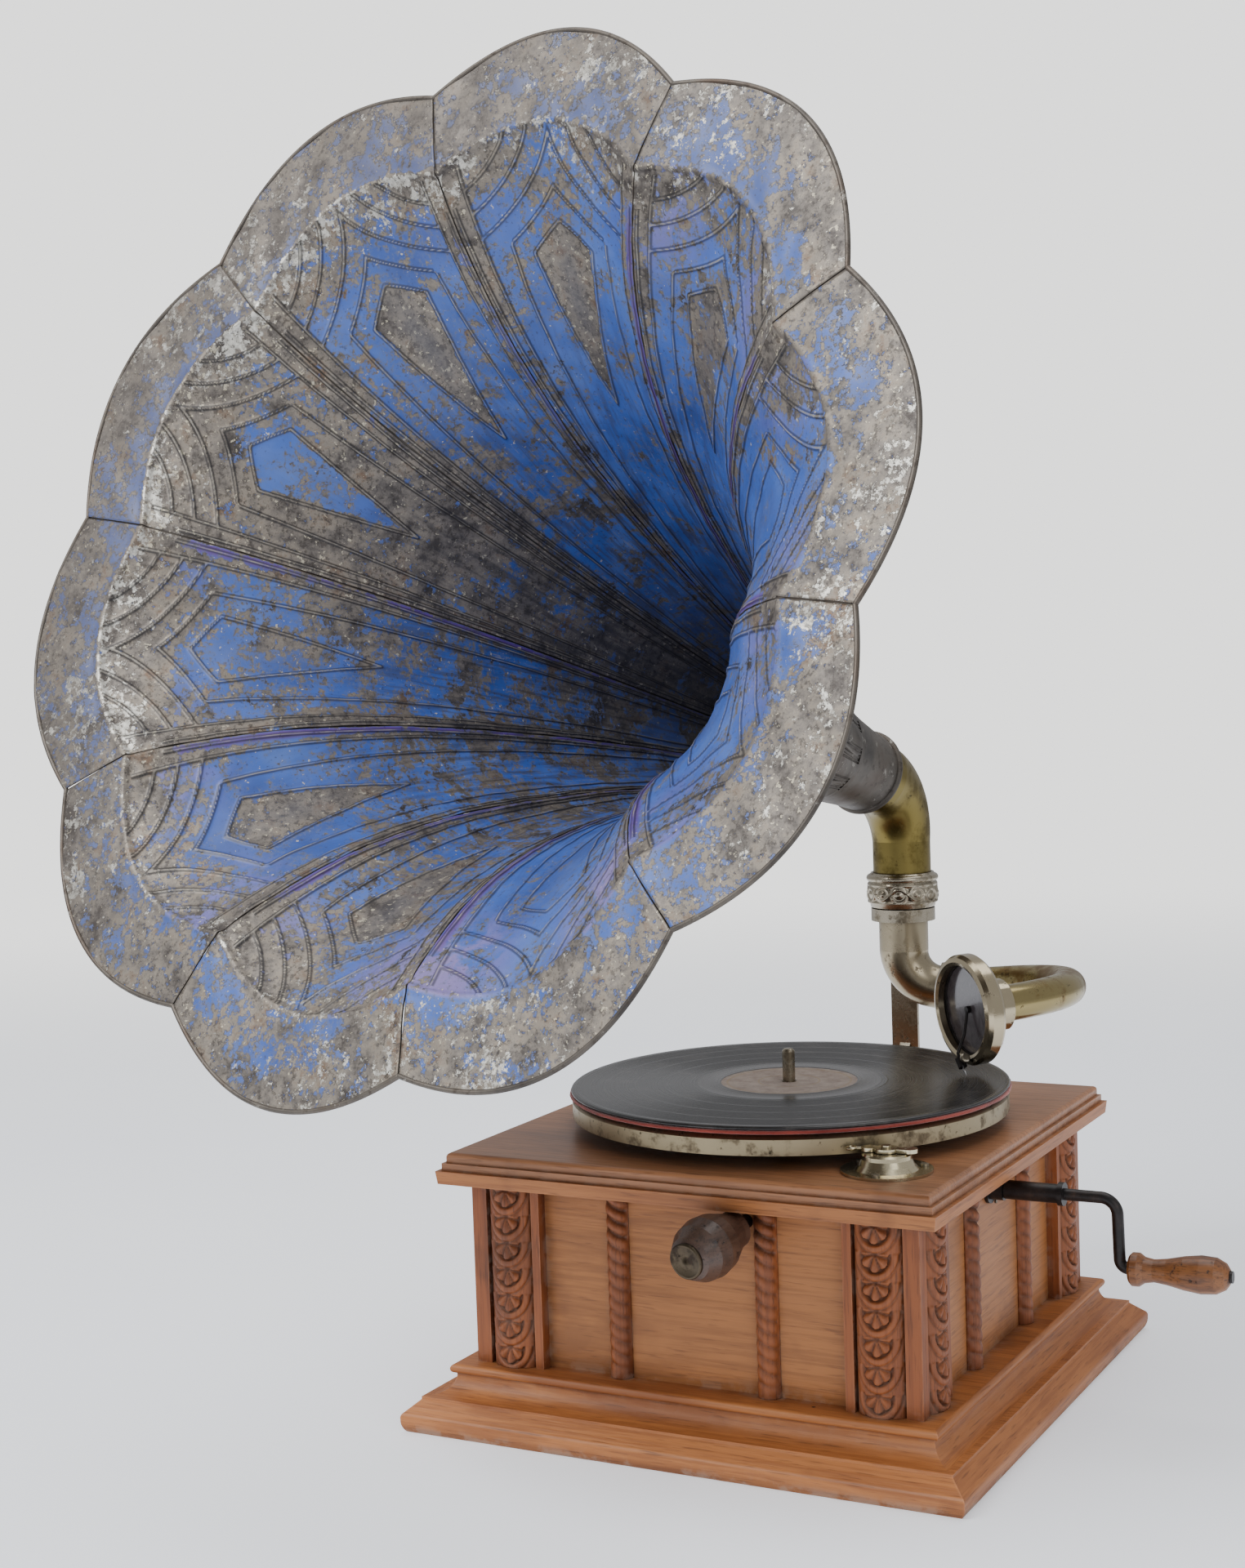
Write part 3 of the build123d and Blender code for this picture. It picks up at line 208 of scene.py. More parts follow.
def wood(name, pale, deep, dark, along, ring_scale=26.0, gloss=0.42):
    """Waxed oak: rings drawn out along the grain, fibres, open pores, worn edges, dust in the corners,
    painted shade in the corners and painted shade in carved hollows.
    along is X, Y, Z, or SIDES for rails round the cabinet, whose grain follows each side."""
    graph = Graph(name)
    x, y, z = (graph.axis(k) for k in range(3))
    if along == "SIDES":
        facing = graph.node("ShaderNodeNewGeometry").outputs["Normal"]
        sideways = graph.calc("ABSOLUTE", graph.axis(0, facing))
        forward = graph.calc("ABSOLUTE", graph.axis(1, facing))
        on_side = graph.calc("GREATER_THAN", sideways, graph.plus(forward, 0.02))
        run = graph.plus(graph.times(on_side, graph.minus(y, x)), x)
        across = graph.plus(graph.times(on_side, graph.minus(x, y)), y)
        lift = z
    else:
        run, across, lift = {"X": (x, y, z), "Y": (y, x, z), "Z": (z, x, y)}[along]
    joined = graph.node("ShaderNodeCombineXYZ")
    for socket, value in zip(joined.inputs, (run, across, lift)):
        graph.put(socket, value)
    grain = joined.outputs[0]
    drift = graph.noise(9.0, 3.0, 0.5, source=graph.stretched((0.5, 1.0, 1.0), grain))
    rings = graph.noise(ring_scale, 5.0, 0.6, 1.2, graph.stretched((0.10, 1.0, 1.0), grain))
    fibres = graph.noise(420.0, 4.0, 0.6, source=graph.stretched((0.035, 1.0, 1.0), grain))
    pores = graph.noise(900.0, 2.0, 0.5, source=graph.stretched((0.06, 1.0, 1.0), grain))
    colour = graph.ramp(rings, (0.34, deep), (0.50, pale), (0.66, deep))
    colour = graph.blend(graph.step(drift, 0.36, 0.68), colour, pale)
    colour = graph.tinge(graph.step(fibres, 0.44, 0.62), 0.5, colour, deep)
    colour = graph.tinge(graph.step(pores, 0.58, 0.70), 0.42, colour, dark)
    stain = graph.step(graph.noise(14.0, 4.0, 0.6), 0.56, 0.74)
    colour = graph.tinge(stain, 0.45, colour, dark)
    worn = graph.times(edge_wear(graph, 0.0016), graph.step(graph.noise(60.0, 4.0), 0.36, 0.62))
    colour = graph.tinge(worn, 0.5, colour, tint(196, 132, 90))
    corner = crevice(graph, 0.012)
    cut = graph.attribute("hollow")
    dusty = graph.times(corner, graph.step(graph.noise(75.0, 5.0, 0.65), 0.46, 0.60))
    # Painted shade: corners and hollows are darkened towards the dark colour; the pale tinge after it is real
    # dust.
    colour = graph.tinge(corner, 0.45, colour, dark)
    colour = graph.tinge(dusty, 0.30, colour, tint(176, 160, 145))
    # Painted shade in the carved hollows: darker the deeper the carving is cut.
    colour = graph.tinge(cut, 0.85, colour, dark)
    worm = graph.node("ShaderNodeTexVoronoi", feature="F1")
    graph.put(worm.inputs["Vector"], graph.place)
    graph.put(worm.inputs["Scale"], 34.0)
    low_down = graph.step(z, 0.05, 0.03)
    pits = graph.times(graph.step(worm.outputs["Distance"], 0.042, 0.028), low_down)
    rare = graph.step(graph.noise(16.0, 2.0), 0.50, 0.52)
    pits = graph.times(pits, rare)
    colour = graph.blend(pits, colour, tint(25, 14, 10))
    height = graph.plus(graph.times(fibres, 0.6), graph.times(pores, -0.5))
    height = graph.minus(height, graph.times(pits, 6.0))
    rough = graph.plus(graph.spread(rings, gloss, gloss + 0.12), graph.times(corner, 0.25))
    return graph.finish(base_color=colour, roughness=rough, normal=graph.bump(height, 0.00025),
                        specular_ior_level=0.45)


def worn_metal(name, bright, dull, dark, rough=0.30, spots=0.5, scale=70.0, metallic=1.0, scratch=0.00004):
    """Old plated or bare metal: a bright coat worn to a dull one in patches, with dark pits."""
    graph = Graph(name)
    cloud = graph.noise(scale * 0.35, 5.0, 0.6)
    patch = graph.noise(scale, 7.0, 0.68)
    fine = graph.noise(scale * 9.0, 4.0, 0.6)
    worn = graph.step(graph.plus(graph.times(patch, 0.7), graph.times(cloud, 0.3)), 0.62 - 0.16 * spots,
                      0.68 - 0.10 * spots)
    colour = graph.blend(worn, bright, dull)
    pits = graph.step(graph.noise(scale * 3.3, 6.0, 0.7), 0.60, 0.68)
    colour = graph.tinge(pits, 0.75, colour, dark)
    # Painted shade: corners and hollows are darkened towards the dark colour.
    corner = crevice(graph, 0.006)
    colour = graph.tinge(corner, 0.6, colour, dark)
    roughness = graph.plus(graph.spread(cloud, rough - 0.08, rough + 0.12), graph.times(worn, 0.16))
    roughness = graph.plus(roughness, graph.times(pits, 0.2))
    height = graph.minus(graph.times(fine, 0.5), graph.plus(pits, worn))
    return graph.finish(base_color=colour, roughness=roughness, metallic=metallic,
                        normal=graph.bump(height, scratch))


def enamel():
    """The horn's inside: blue enamel over tinned sheet, rubbed through where the petals' attributes say."""
    graph = Graph("horn_paint")
    wear = graph.attribute("wear")
    fleck_wear = graph.attribute("fleck")
    line = graph.attribute("line")
    stripe = graph.attribute("stripe")
    lilac = graph.attribute("lilac")
    deep = graph.attribute("deep")
    fine = graph.noise(260.0, 7.0, 0.72)
    middle = graph.noise(52.0, 6.0, 0.68, 0.4)
    large = graph.noise(13.0, 4.0, 0.6)
    mixed = graph.plus(graph.times(fine, 0.42), graph.times(middle, 0.34))
    mixed = graph.plus(mixed, graph.times(large, 0.24))
    over = graph.minus(graph.spread(wear, 0.36, 0.655), mixed)
    bare = graph.step(over, -0.006, 0.006)
    thin = graph.step(over, -0.060, 0.0)
    blue = graph.ramp(graph.noise(20.0, 4.0), (0.30, tint(42, 70, 138)), (0.55, tint(58, 92, 170)),
                      (0.75, tint(84, 112, 176)))
    blue = graph.blend(graph.times(lilac, graph.step(middle, 0.40, 0.56)), blue, tint(128, 112, 162))
    blue = graph.blend(graph.times(stripe, graph.spread(middle, 0.5, 1.1)), blue, tint(92, 52, 124))
    blue = graph.tinge(thin, 0.65, blue, tint(96, 102, 120))
    tin = graph.ramp(graph.noise(46.0, 8.0, 0.74), (0.36, tint(64, 59, 56)), (0.46, tint(108, 102, 96)),
                     (0.55, tint(132, 124, 113)), (0.66, tint(108, 88, 72)))
    tin = graph.tinge(graph.step(fine, 0.50, 0.60), 0.7, tin, tint(56, 50, 46))
    colour = graph.blend(bare, blue, tin)
    cream = graph.step(graph.minus(graph.noise(340.0, 3.0, 0.62), graph.spread(wear, 0.74, 0.585)), 0.0,
                       0.02)
    colour = graph.tinge(cream, 0.8, colour, tint(190, 182, 160))
    spark = graph.plus(graph.times(graph.noise(190.0, 8.0, 0.78), 0.7),
                       graph.times(graph.noise(40.0, 3.0), 0.3))
    silver = graph.step(graph.minus(spark, graph.spread(fleck_wear, 0.68, 0.47)), 0.0, 0.016)
    colour = graph.blend(silver, colour,
                         graph.ramp(fine, (0.34, tint(140, 136, 128)), (0.6, tint(214, 212, 204))))
    # Painted shade along both flanks of each pressed ridge.
    ridge_flank_shade = graph.times(graph.step(line, 0.30, 0.75), graph.step(line, 1.9, 1.0))
    colour = graph.tinge(ridge_flank_shade, 0.72, colour, tint(26, 26, 30))
    # Lighter metal on the ridge crests: partly rubbed-through wear, partly a painted highlight.
    crest_wear_and_highlight = graph.times(graph.step(line, 0.6, 0.25), graph.step(middle, 0.40, 0.60))
    colour = graph.blend(crest_wear_and_highlight, colour, tint(132, 128, 120))
    # Painted shade: the flange is darkened towards its top and left, which are lit less.
    painted_flange_shade = graph.times(graph.attribute("painted_flange_shade"), graph.spread(middle, 0.1, 0.85))
    colour = graph.blend(painted_flange_shade, colour, tint(78, 72, 68))
    down = graph.attribute("down")
    flat = graph.node("ShaderNodeCombineXYZ")
    graph.put(flat.inputs[0], graph.times(graph.attribute("across"), 330.0))
    graph.put(flat.inputs[1], graph.times(down, 30.0))
    graph.put(flat.inputs[2], graph.attribute("petal"))
    streaks = graph.noise(1.0, 6.0, 0.62, 0.3, flat.outputs[0])
    inside = graph.step(down, 0.03, 0.22)
    grime = graph.times(graph.step(streaks, 0.46, 0.62), inside)
    colour = graph.tinge(grime, 0.62, colour, tint(62, 60, 62))
    rubbed = graph.times(graph.step(streaks, 0.40, 0.33), inside)
    colour = graph.tinge(graph.times(rubbed, graph.step(fine, 0.46, 0.54)), 0.6, colour,
                         tint(136, 132, 124))
    specks = graph.step(graph.noise(420.0, 4.0, 0.7), 0.60, 0.64)
    colour = graph.tinge(specks, 0.55, colour, tint(48, 44, 42))
    # Greyer towards the throat and along the middle of each kite.
    throat_and_kite_grey = graph.times(deep, graph.spread(middle, 0.75, 1.35))
    colour = graph.blend(throat_and_kite_grey, colour, tint(92, 92, 98))
    shiny = graph.calc("MAXIMUM", graph.times(bare, 0.45), graph.times(silver, 0.7))
    rough = graph.plus(graph.spread(fine, 0.34, 0.50), graph.times(bare, 0.08))
    height = graph.plus(graph.times(bare, -1.0), graph.times(silver, 0.5))
    height = graph.plus(height, graph.times(fine, 0.6))
    return graph.finish(base_color=colour, metallic=shiny, roughness=rough,
                        normal=graph.bump(height, 0.00012))


def bare_horn():
    """The horn's outside: dull grey-brown sheet with smears of rust and a few rubbed places."""
    graph = Graph("horn_metal")
    broad = graph.noise(16.0, 5.0, 0.62)
    fine = graph.noise(150.0, 6.0, 0.7)
    colour = graph.ramp(broad, (0.33, tint(66, 62, 59)), (0.50, tint(98, 92, 85)), (0.66, tint(82, 69, 59)))
    colour = graph.tinge(graph.step(fine, 0.54, 0.64), 0.7, colour, tint(66, 58, 52))
    rubbed = graph.step(graph.noise(90.0, 7.0, 0.75), 0.60, 0.66)
    colour = graph.tinge(rubbed, 0.6, colour, tint(176, 172, 164))
    # Painted shade: corners and hollows are darkened.
    colour = graph.tinge(crevice(graph, 0.008), 0.7, colour, tint(40, 36, 34))
    return graph.finish(base_color=colour, metallic=0.65, roughness=graph.spread(fine, 0.40, 0.62),
                        normal=graph.bump(graph.plus(fine, rubbed), 0.0001))


def shellac(centre_x, centre_y):
    """A pressed record: black with faint rings from the groove bands and a lighter run-out, both a painted
    sheen, a paper label, and dust that also stands in for a painted sheen.
    """
    graph = Graph("shellac")
    x = graph.minus(graph.axis(0), centre_x)
    y = graph.minus(graph.axis(1), centre_y)
    away = graph.calc("SQRT", graph.plus(graph.times(x, x), graph.times(y, y)))
    dust = graph.noise(60.0, 7.0, 0.7)
    bands = graph.node("ShaderNodeTexNoise", noise_dimensions="1D")
    graph.put(bands.inputs["W"], graph.times(away, 260.0))
    bands.inputs["Detail"].default_value = 5.0
    # Painted sheen: the groove bands show as lighter and darker grey rings.
    black = graph.ramp(bands.outputs["Fac"], (0.35, tint(34, 33, 33)), (0.62, tint(62, 60, 59)))
    # Real dust, whose lighter mottle also stands in for a painted sheen.
    black = graph.tinge(graph.step(dust, 0.50, 0.70), 0.32, black, tint(110, 104, 100))
    # Painted sheen: the smooth run-out is lighter.
    run_out_sheen = graph.times(graph.step(away, 0.0530, 0.0520), graph.step(away, 0.0392, 0.0398))
    black = graph.tinge(run_out_sheen, 0.40, black, tint(96, 92, 90))
    paper = graph.ramp(graph.noise(120.0, 6.0, 0.7), (0.35, tint(154, 134, 122)), (0.62, tint(188, 172, 160)))
    ring = graph.times(graph.step(away, 0.0362, 0.0358), graph.step(away, 0.0346, 0.0350))
    inner_ring = graph.times(graph.step(away, 0.0182, 0.0178), graph.step(away, 0.0168, 0.0172))
    paper = graph.tinge(graph.calc("MAXIMUM", ring, inner_ring), 0.6, paper, tint(172, 148, 110))
    on_label = graph.step(away, 0.0392, 0.0388)
    colour = graph.blend(on_label, black, paper)
    rough = graph.plus(graph.spread(bands.outputs["Fac"], 0.16, 0.34), graph.times(on_label, 0.42))
    return graph.finish(base_color=colour, roughness=rough, specular_ior_level=0.55,
                        normal=graph.bump(dust, 0.00003))


def cloth_red():
    graph = Graph("felt")
    fuzz = graph.noise(1400.0, 5.0, 0.8)
    fade = graph.noise(30.0, 4.0)
    colour = graph.ramp(fade, (0.35, tint(126, 44, 38)), (0.62, tint(172, 74, 62)))
    colour = graph.tinge(graph.step(fuzz, 0.5, 0.66), 0.5, colour, tint(92, 30, 26))
    return graph.finish(base_color=colour, roughness=0.95, sheen_weight=0.6, sheen_roughness=0.4,
                        normal=graph.bump(fuzz, 0.0003))


def mica():
    graph = Graph("mica")
    flakes = graph.noise(110.0, 5.0, 0.6, 1.5)
    colour = graph.ramp(flakes, (0.34, tint(84, 77, 81)), (0.60, tint(112, 104, 107)))
    colour = graph.blend(graph.step(graph.noise(500.0, 3.0), 0.66, 0.70), colour, tint(70, 62, 66))
    return graph.finish(base_color=colour, roughness=graph.spread(flakes, 0.10, 0.26), coat_weight=0.5,
                        specular_ior_level=0.7, normal=graph.bump(flakes, 0.00006))


def rubber():
    graph = Graph("gasket_rubber")
    dull = graph.noise(240.0, 5.0, 0.6)
    colour = graph.ramp(dull, (0.35, tint(30, 27, 26)), (0.65, tint(62, 55, 50)))
    return graph.finish(base_color=colour, roughness=graph.spread(dull, 0.6, 0.85),
                        normal=graph.bump(dull, 0.0001))


def iron():
    """Japanned iron that has worn brown in patches."""
    graph = Graph("black_iron")
    patch = graph.noise(90.0, 6.0, 0.68)
    fine = graph.noise(600.0, 4.0)
    colour = graph.ramp(patch, (0.40, tint(28, 26, 26)), (0.56, tint(44, 38, 37)), (0.70, tint(68, 53, 45)))
    return graph.finish(base_color=colour, metallic=0.35, roughness=graph.spread(patch, 0.28, 0.52),
                        normal=graph.bump(fine, 0.00005))


def handle_wood(name, pale, deep, dark, along_x):
    """A hand-worn turned grip: long fibres, dark dents and a polish from use."""
    graph = Graph(name)
    stretch = (0.12, 1.0, 1.0) if along_x else (1.0, 0.12, 1.0)
    fibres = graph.noise(220.0, 5.0, 0.6, 0.6, graph.stretched(stretch))
    fine = graph.noise(1300.0, 3.0, 0.6, source=graph.stretched(stretch))
    colour = graph.ramp(fibres, (0.36, deep), (0.56, pale))
    colour = graph.tinge(graph.step(fine, 0.54, 0.64), 0.5, colour, dark)
    dents = graph.step(graph.noise(170.0, 5.0, 0.7), 0.60, 0.66)
    colour = graph.tinge(dents, 0.85, colour, dark)
    # Painted shade: corners and hollows are darkened towards the dark colour.
    colour = graph.tinge(crevice(graph, 0.004), 0.7, colour, dark)
    height = graph.minus(graph.times(fibres, 0.5), dents)
    return graph.finish(base_color=colour, roughness=graph.spread(fibres, 0.34, 0.50), coat_weight=0.15,
                        normal=graph.bump(height, 0.0002))


def make_materials():
    pale, deep, dark = tint(178, 113, 62), tint(134, 78, 41), tint(62, 33, 18)
    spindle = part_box("spindle")
    centre = (spindle[0] + spindle[1]) / 2
    made = {
        "oak": wood("oak", pale, deep, dark, "SIDES"),
        "oak_upright": wood("oak_upright", tint(150, 84, 42), tint(110, 58, 29), dark, "Z"),
        "oak_deck": wood("oak_deck", tint(176, 121, 82), tint(132, 86, 56), dark, "X", 20.0, 0.30),
        "oak_panel": wood("oak_panel", tint(174, 113, 62), tint(134, 84, 44), tint(88, 52, 30), "X", 40.0),
        "oak_panel_side": wood("oak_panel_side", tint(174, 113, 62), tint(134, 84, 44), tint(88, 52, 30),
                               "Y", 40.0),
        "motor_steel": worn_metal("motor_steel", tint(150, 150, 150), tint(104, 98, 92), tint(50, 44, 40),
                                  0.36),
        "spring_steel": worn_metal("spring_steel", tint(90, 100, 120), tint(70, 72, 80), tint(36, 34, 34),
                                   0.25),
        "gear_brass": worn_metal("gear_brass", tint(166, 134, 74), tint(122, 98, 56), tint(52, 42, 28),
                                 0.32),
        "nickel": worn_metal("nickel", tint(170, 161, 143), tint(124, 114, 96), tint(54, 47, 40), 0.24, 0.8,
                             90.0),
        "pale_nickel": worn_metal("pale_nickel", tint(208, 196, 164), tint(160, 148, 120), tint(64, 56, 46),
                                  0.2, 0.3, 120.0),
        "polished_nickel": worn_metal("polished_nickel", tint(186, 173, 146), tint(150, 136, 108),
                                      tint(58, 50, 41), 0.15, 0.35, 60.0),
        "warm_nickel": worn_metal("warm_nickel", tint(166, 154, 130), tint(134, 121, 98), tint(62, 53, 43),
                                  0.27, 0.5, 40.0),
        "platter_tin": worn_metal("platter_tin", tint(156, 143, 116), tint(116, 104, 84), tint(44, 39, 34),
                                  0.38, 0.8, 70.0),
        "screws": worn_metal("screws", tint(176, 168, 150), tint(126, 116, 100), tint(52, 46, 40), 0.34,
                             0.8, 240.0),
        "worn_brass_tube": worn_metal("worn_brass_tube", tint(158, 143, 100), tint(122, 97, 58),
                                      tint(66, 51, 34), 0.20, 0.9, 45.0),
        "elbow_brass": worn_metal("elbow_brass", tint(126, 112, 64), tint(100, 87, 47), tint(60, 50, 30),
                                  0.30, 0.9, 45.0),
        "cap_brass": worn_metal("cap_brass", tint(88, 78, 64), tint(66, 57, 49), tint(34, 30, 27), 0.4, 1.0,
                                160.0),
        "horn_paint": enamel(),
        "horn_metal": bare_horn(),
        "felt": cloth_red(),
        "shellac": shellac(centre.x, centre.y),
        "mica": mica(),
        "gasket_rubber": rubber(),
        "needle_steel": worn_metal("needle_steel", tint(190, 190, 192), tint(150, 148, 146),
                                   tint(70, 66, 64), 0.2),
        "black_iron": iron(),
        "handle_wood": handle_wood("handle_wood", tint(140, 88, 46), tint(102, 60, 30), tint(42, 26, 18),
                                   True),
        "knob_wood": handle_wood("knob_wood", tint(86, 64, 52), tint(60, 44, 36), tint(30, 22, 19), False),
    }
    return made


MATERIALS = make_materials()


# ---------------------------------------------------------------- mesh building

class Body:
    """Collects points and faces of one mesh piece, each face with a material number."""

    def __init__(self):
        self.points = []
        self.faces = []
        self.slots = []
        self.values = {}
        self.count = 0

    def add(self, points, faces, slot=0, **values):
        points = np.asarray(points, float).reshape(-1, 3)
        faces = np.asarray(faces, np.int32).reshape(-1, 4)
        self.points.append(points)
        self.faces.append(faces + self.count)
        self.slots.append(np.full(len(faces), slot, np.int32))
        for name, data in values.items():
            self.values.setdefault(name, []).append((self.count, np.asarray(data, float).ravel()))
        self.count += len(points)

    def make(self, name, materials, smooth=True):
        points = np.concatenate(self.points)
        faces = np.concatenate(self.faces)
        mesh = bpy.data.meshes.new(name)
        mesh.vertices.add(len(points))
        mesh.vertices.foreach_set("co", points.ravel())
        mesh.loops.add(faces.size)
        mesh.loops.foreach_set("vertex_index", faces.ravel())
        mesh.polygons.add(len(faces))
        mesh.polygons.foreach_set("loop_start", np.arange(0, faces.size, 4, dtype=np.int32))
        mesh.polygons.foreach_set("material_index", np.concatenate(self.slots))
        mesh.polygons.foreach_set("use_smooth", np.full(len(faces), smooth))
        mesh.update(calc_edges=True)
        for value_name, parts in self.values.items():
            data = np.zeros(len(points))
            for start, chunk in parts:
                data[start:start + len(chunk)] = chunk
            layer = mesh.attributes.new(value_name, "FLOAT", "POINT")
            layer.data.foreach_set("value", data)
        for material in materials:
            mesh.materials.append(MATERIALS[material])
        piece = bpy.data.objects.new(name, mesh)
        bpy.context.scene.collection.objects.link(piece)
        return piece


def grid_faces(rows, columns, closed=False, turned=False):
    """Quads over a grid of points, row by row; closed joins the last column to the first."""
    row, column = np.meshgrid(np.arange(rows - 1), np.arange(columns if closed else columns - 1),
                              indexing="ij")
    after = (column + 1) % columns
    quads = np.stack([row * columns + column, row * columns + after,
                      (row + 1) * columns + after, (row + 1) * columns + column], -1).reshape(-1, 4)
    return quads[:, ::-1] if turned else quads


def shell_faces(rows, columns):
    """Faces of a closed sheet: a front grid, a back grid after it, and the strip round the edge."""
    total = rows * columns
    front = grid_faces(rows, columns)
    back = grid_faces(rows, columns, turned=True) + total
    rim = [c for c in range(columns)]
    rim += [r * columns + columns - 1 for r in range(1, rows)]
    rim += [(rows - 1) * columns + c for c in range(columns - 2, -1, -1)]
    rim += [r * columns for r in range(rows - 2, 0, -1)]
    rim = np.array(rim)
    after = np.roll(rim, -1)
    strip = np.stack([after, rim, rim + total, after + total], -1)
    return front, back, strip


def grid_normals(points):
    """Unit normals of a grid of points, from its neighbours."""
    down = np.gradient(points, axis=0)
    across = np.gradient(points, axis=1)
    normal = np.cross(across, down)
    return normal / np.linalg.norm(normal, axis=-1, keepdims=True)


def smooth_step(value, low, high):
    share = np.clip((value - low) / (high - low), 0.0, 1.0)
    return share * share * (3.0 - 2.0 * share)


# ---------------------------------------------------------------- the horn's petals

PIVOT = Vector((0.0015, 0.190, 0.328))
HORN_AIM = math.radians(8.9)
HORN_TILT = math.radians(17.9)
PETALS = 10
FIRST_SEAM = 136.2
NECK_AT, RING_AT, FOLD_AT, EDGE_AT = 0.104, 0.046, 0.4745, 0.479
RING_R, FOLD_R, EDGE_R = 0.024, 0.211, 0.2535
SCALLOP = 0.080
SEAM_GAP = 0.0004
SHEET = 1.0 * MM
LAP_R = 1.0 * MM        # bead that closes each seam from behind
LAP_STOPS = 0.045       # how far short of the neck it ends
RIB_HEIGHT = 3.4        # of a folded seam, in millimetres
RIB_HALF_WIDTH = 1.5
ROWS_FLANGE, ROWS_NEAR, ROWS_DEEP = 30, 152, 122
COLUMNS = 132
NEAR_DEPTH = 0.165

horn_out = np.array([-math.sin(HORN_AIM) * math.cos(HORN_TILT), -math.cos(HORN_AIM) * math.cos(HORN_TILT),
                     math.sin(HORN_TILT)])
horn_side = np.array([math.cos(HORN_AIM), -math.sin(HORN_AIM), 0.0])
horn_up = np.cross(horn_out, horn_side)

# How each petal has aged: wear over its face, silver showing, lilac at its corners, blue left in its kite.
PETAL_AGE = {
    1: (0.64, 0.56, 0.0, 0.9),
    2: (0.47, 0.50, 0.35, 0.5),
    3: (0.36, 0.36, 0.60, 0.2),
    4: (0.44, 0.34, 0.80, 0.1),
    5: (0.26, 0.24, 0.90, 0.6),
    6: (0.26, 0.15, 0.50, 0.7),
    7: (0.30, 0.20, 0.40, 0.7),
    8: (0.34, 0.40, 0.55, 0.3),
    9: (0.28, 0.46, 0.10, 0.0),
    10: (0.40, 0.52, 0.10, 0.1),
}


def bell_radius(along):
    share = np.clip((along - RING_AT) / (FOLD_AT - RING_AT), 0.0, 1.0)
    return RING_R + (FOLD_R - RING_R) * (0.722 * share ** 1.5 + 0.278 * share ** 8)


def bell_profile():
    """Distance along the axis, radius and depth below the fold, for every row of a petal, rim first."""
    outward = np.linspace(1.0, 0.0, ROWS_FLANGE, endpoint=False)
    flange_at = FOLD_AT + (EDGE_AT - FOLD_AT) * np.sqrt(outward)
    flange_r = FOLD_R + (EDGE_R - FOLD_R) * outward
    fine = np.linspace(FOLD_AT, NECK_AT, 4000)
    radius = bell_radius(fine)
    length = np.concatenate([[0.0], np.cumsum(np.hypot(np.diff(fine), np.diff(radius)))])
    near = np.linspace(0.0, NEAR_DEPTH, ROWS_NEAR, endpoint=False)
    far = np.linspace(NEAR_DEPTH, length[-1], ROWS_DEEP)
    depth = np.concatenate([near, far])
    inner_at = np.interp(depth, length, fine)
    along = np.concatenate([flange_at, inner_at])
    radius = np.concatenate([flange_r, bell_radius(inner_at)])
    depth = np.concatenate([-(EDGE_R - FOLD_R) * outward, depth])
    return along, radius, depth


def segment_distance(u, d, start, end):
    run = np.array(end) - np.array(start)
    share = np.clip(((u - start[0]) * run[0] + (d - start[1]) * run[1]) / run.dot(run), 0.0, 1.0)
    return np.hypot(u - start[0] - share * run[0], d - start[1] - share * run[1])


ARC_CENTRE = (0.052, -0.014)
ARC_RADII = (0.030, 0.0425, 0.0555, 0.0675)
ARC_END = (0.030, 0.050)
KITE = ((0.0, 0.045), (0.018, 0.058), (0.0, 0.145))
FAR = 0.006


def border_at(half):
    return half * 0.83 - 0.0005


def line_distance(u, d, half):
    """Distance from the nearest pressed line on the flattened petal: u across, d down from the fold."""
    u = np.abs(u)
    border = border_at(half)
    nearest = np.where(d > 0.004, np.abs(u - border), FAR)
    nearest = np.minimum(nearest, np.where(d > 0.02, np.abs(u - (half - 0.0028)), FAR))
    for number, radius in enumerate(ARC_RADII):
        gap = np.abs(np.hypot(u - ARC_CENTRE[0], d - ARC_CENTRE[1]) - radius)
        inside = (d > 0.001) & (u < (ARC_END[0] if number == 3 else border)) & (d < 0.060)
        nearest = np.minimum(nearest, np.where(inside, gap, FAR))
    shoulder = ARC_END[0] / (ARC_END[0] + 0.024)
    nearest = np.minimum(nearest, np.where(d > ARC_END[1], np.abs(u - shoulder * half), FAR))
    for start, end in zip(KITE, KITE[1:]):
        nearest = np.minimum(nearest, segment_distance(u, d, start, end))
    return np.minimum(nearest, FAR)


def kite_inside(u, d):
    """1 inside the kite, falling to 0 at its outline."""
    u = np.abs(u)
    (_, apex), (wide, shoulder), (_, tip) = KITE
    width = np.where(d < shoulder, wide * (d - apex) / (shoulder - apex), wide * (tip - d) / (tip - shoulder))
    return smooth_step(width - u, 0.0, 0.003)


def kite_core(u, d):
    """1 along the middle of the kite, where grime has gathered, fading well before its outline."""
    middle, length = 0.080, 0.030
    return np.exp(-(u / 0.0075) ** 2 - ((d - middle) / length) ** 2)


def dents(u, d, number):
    """Slow unevenness of old hand-worked sheet, a few tenths of a millimetre."""
    shift = 1.7 * number
    return (0.30 * np.sin(95 * u + shift) * np.sin(60 * d + 2.1 * shift)
            + 0.18 * np.sin(210 * u - 140 * d + 3.3 * shift)
            + 0.10 * np.sin(330 * d + 250 * u + shift)) * MM


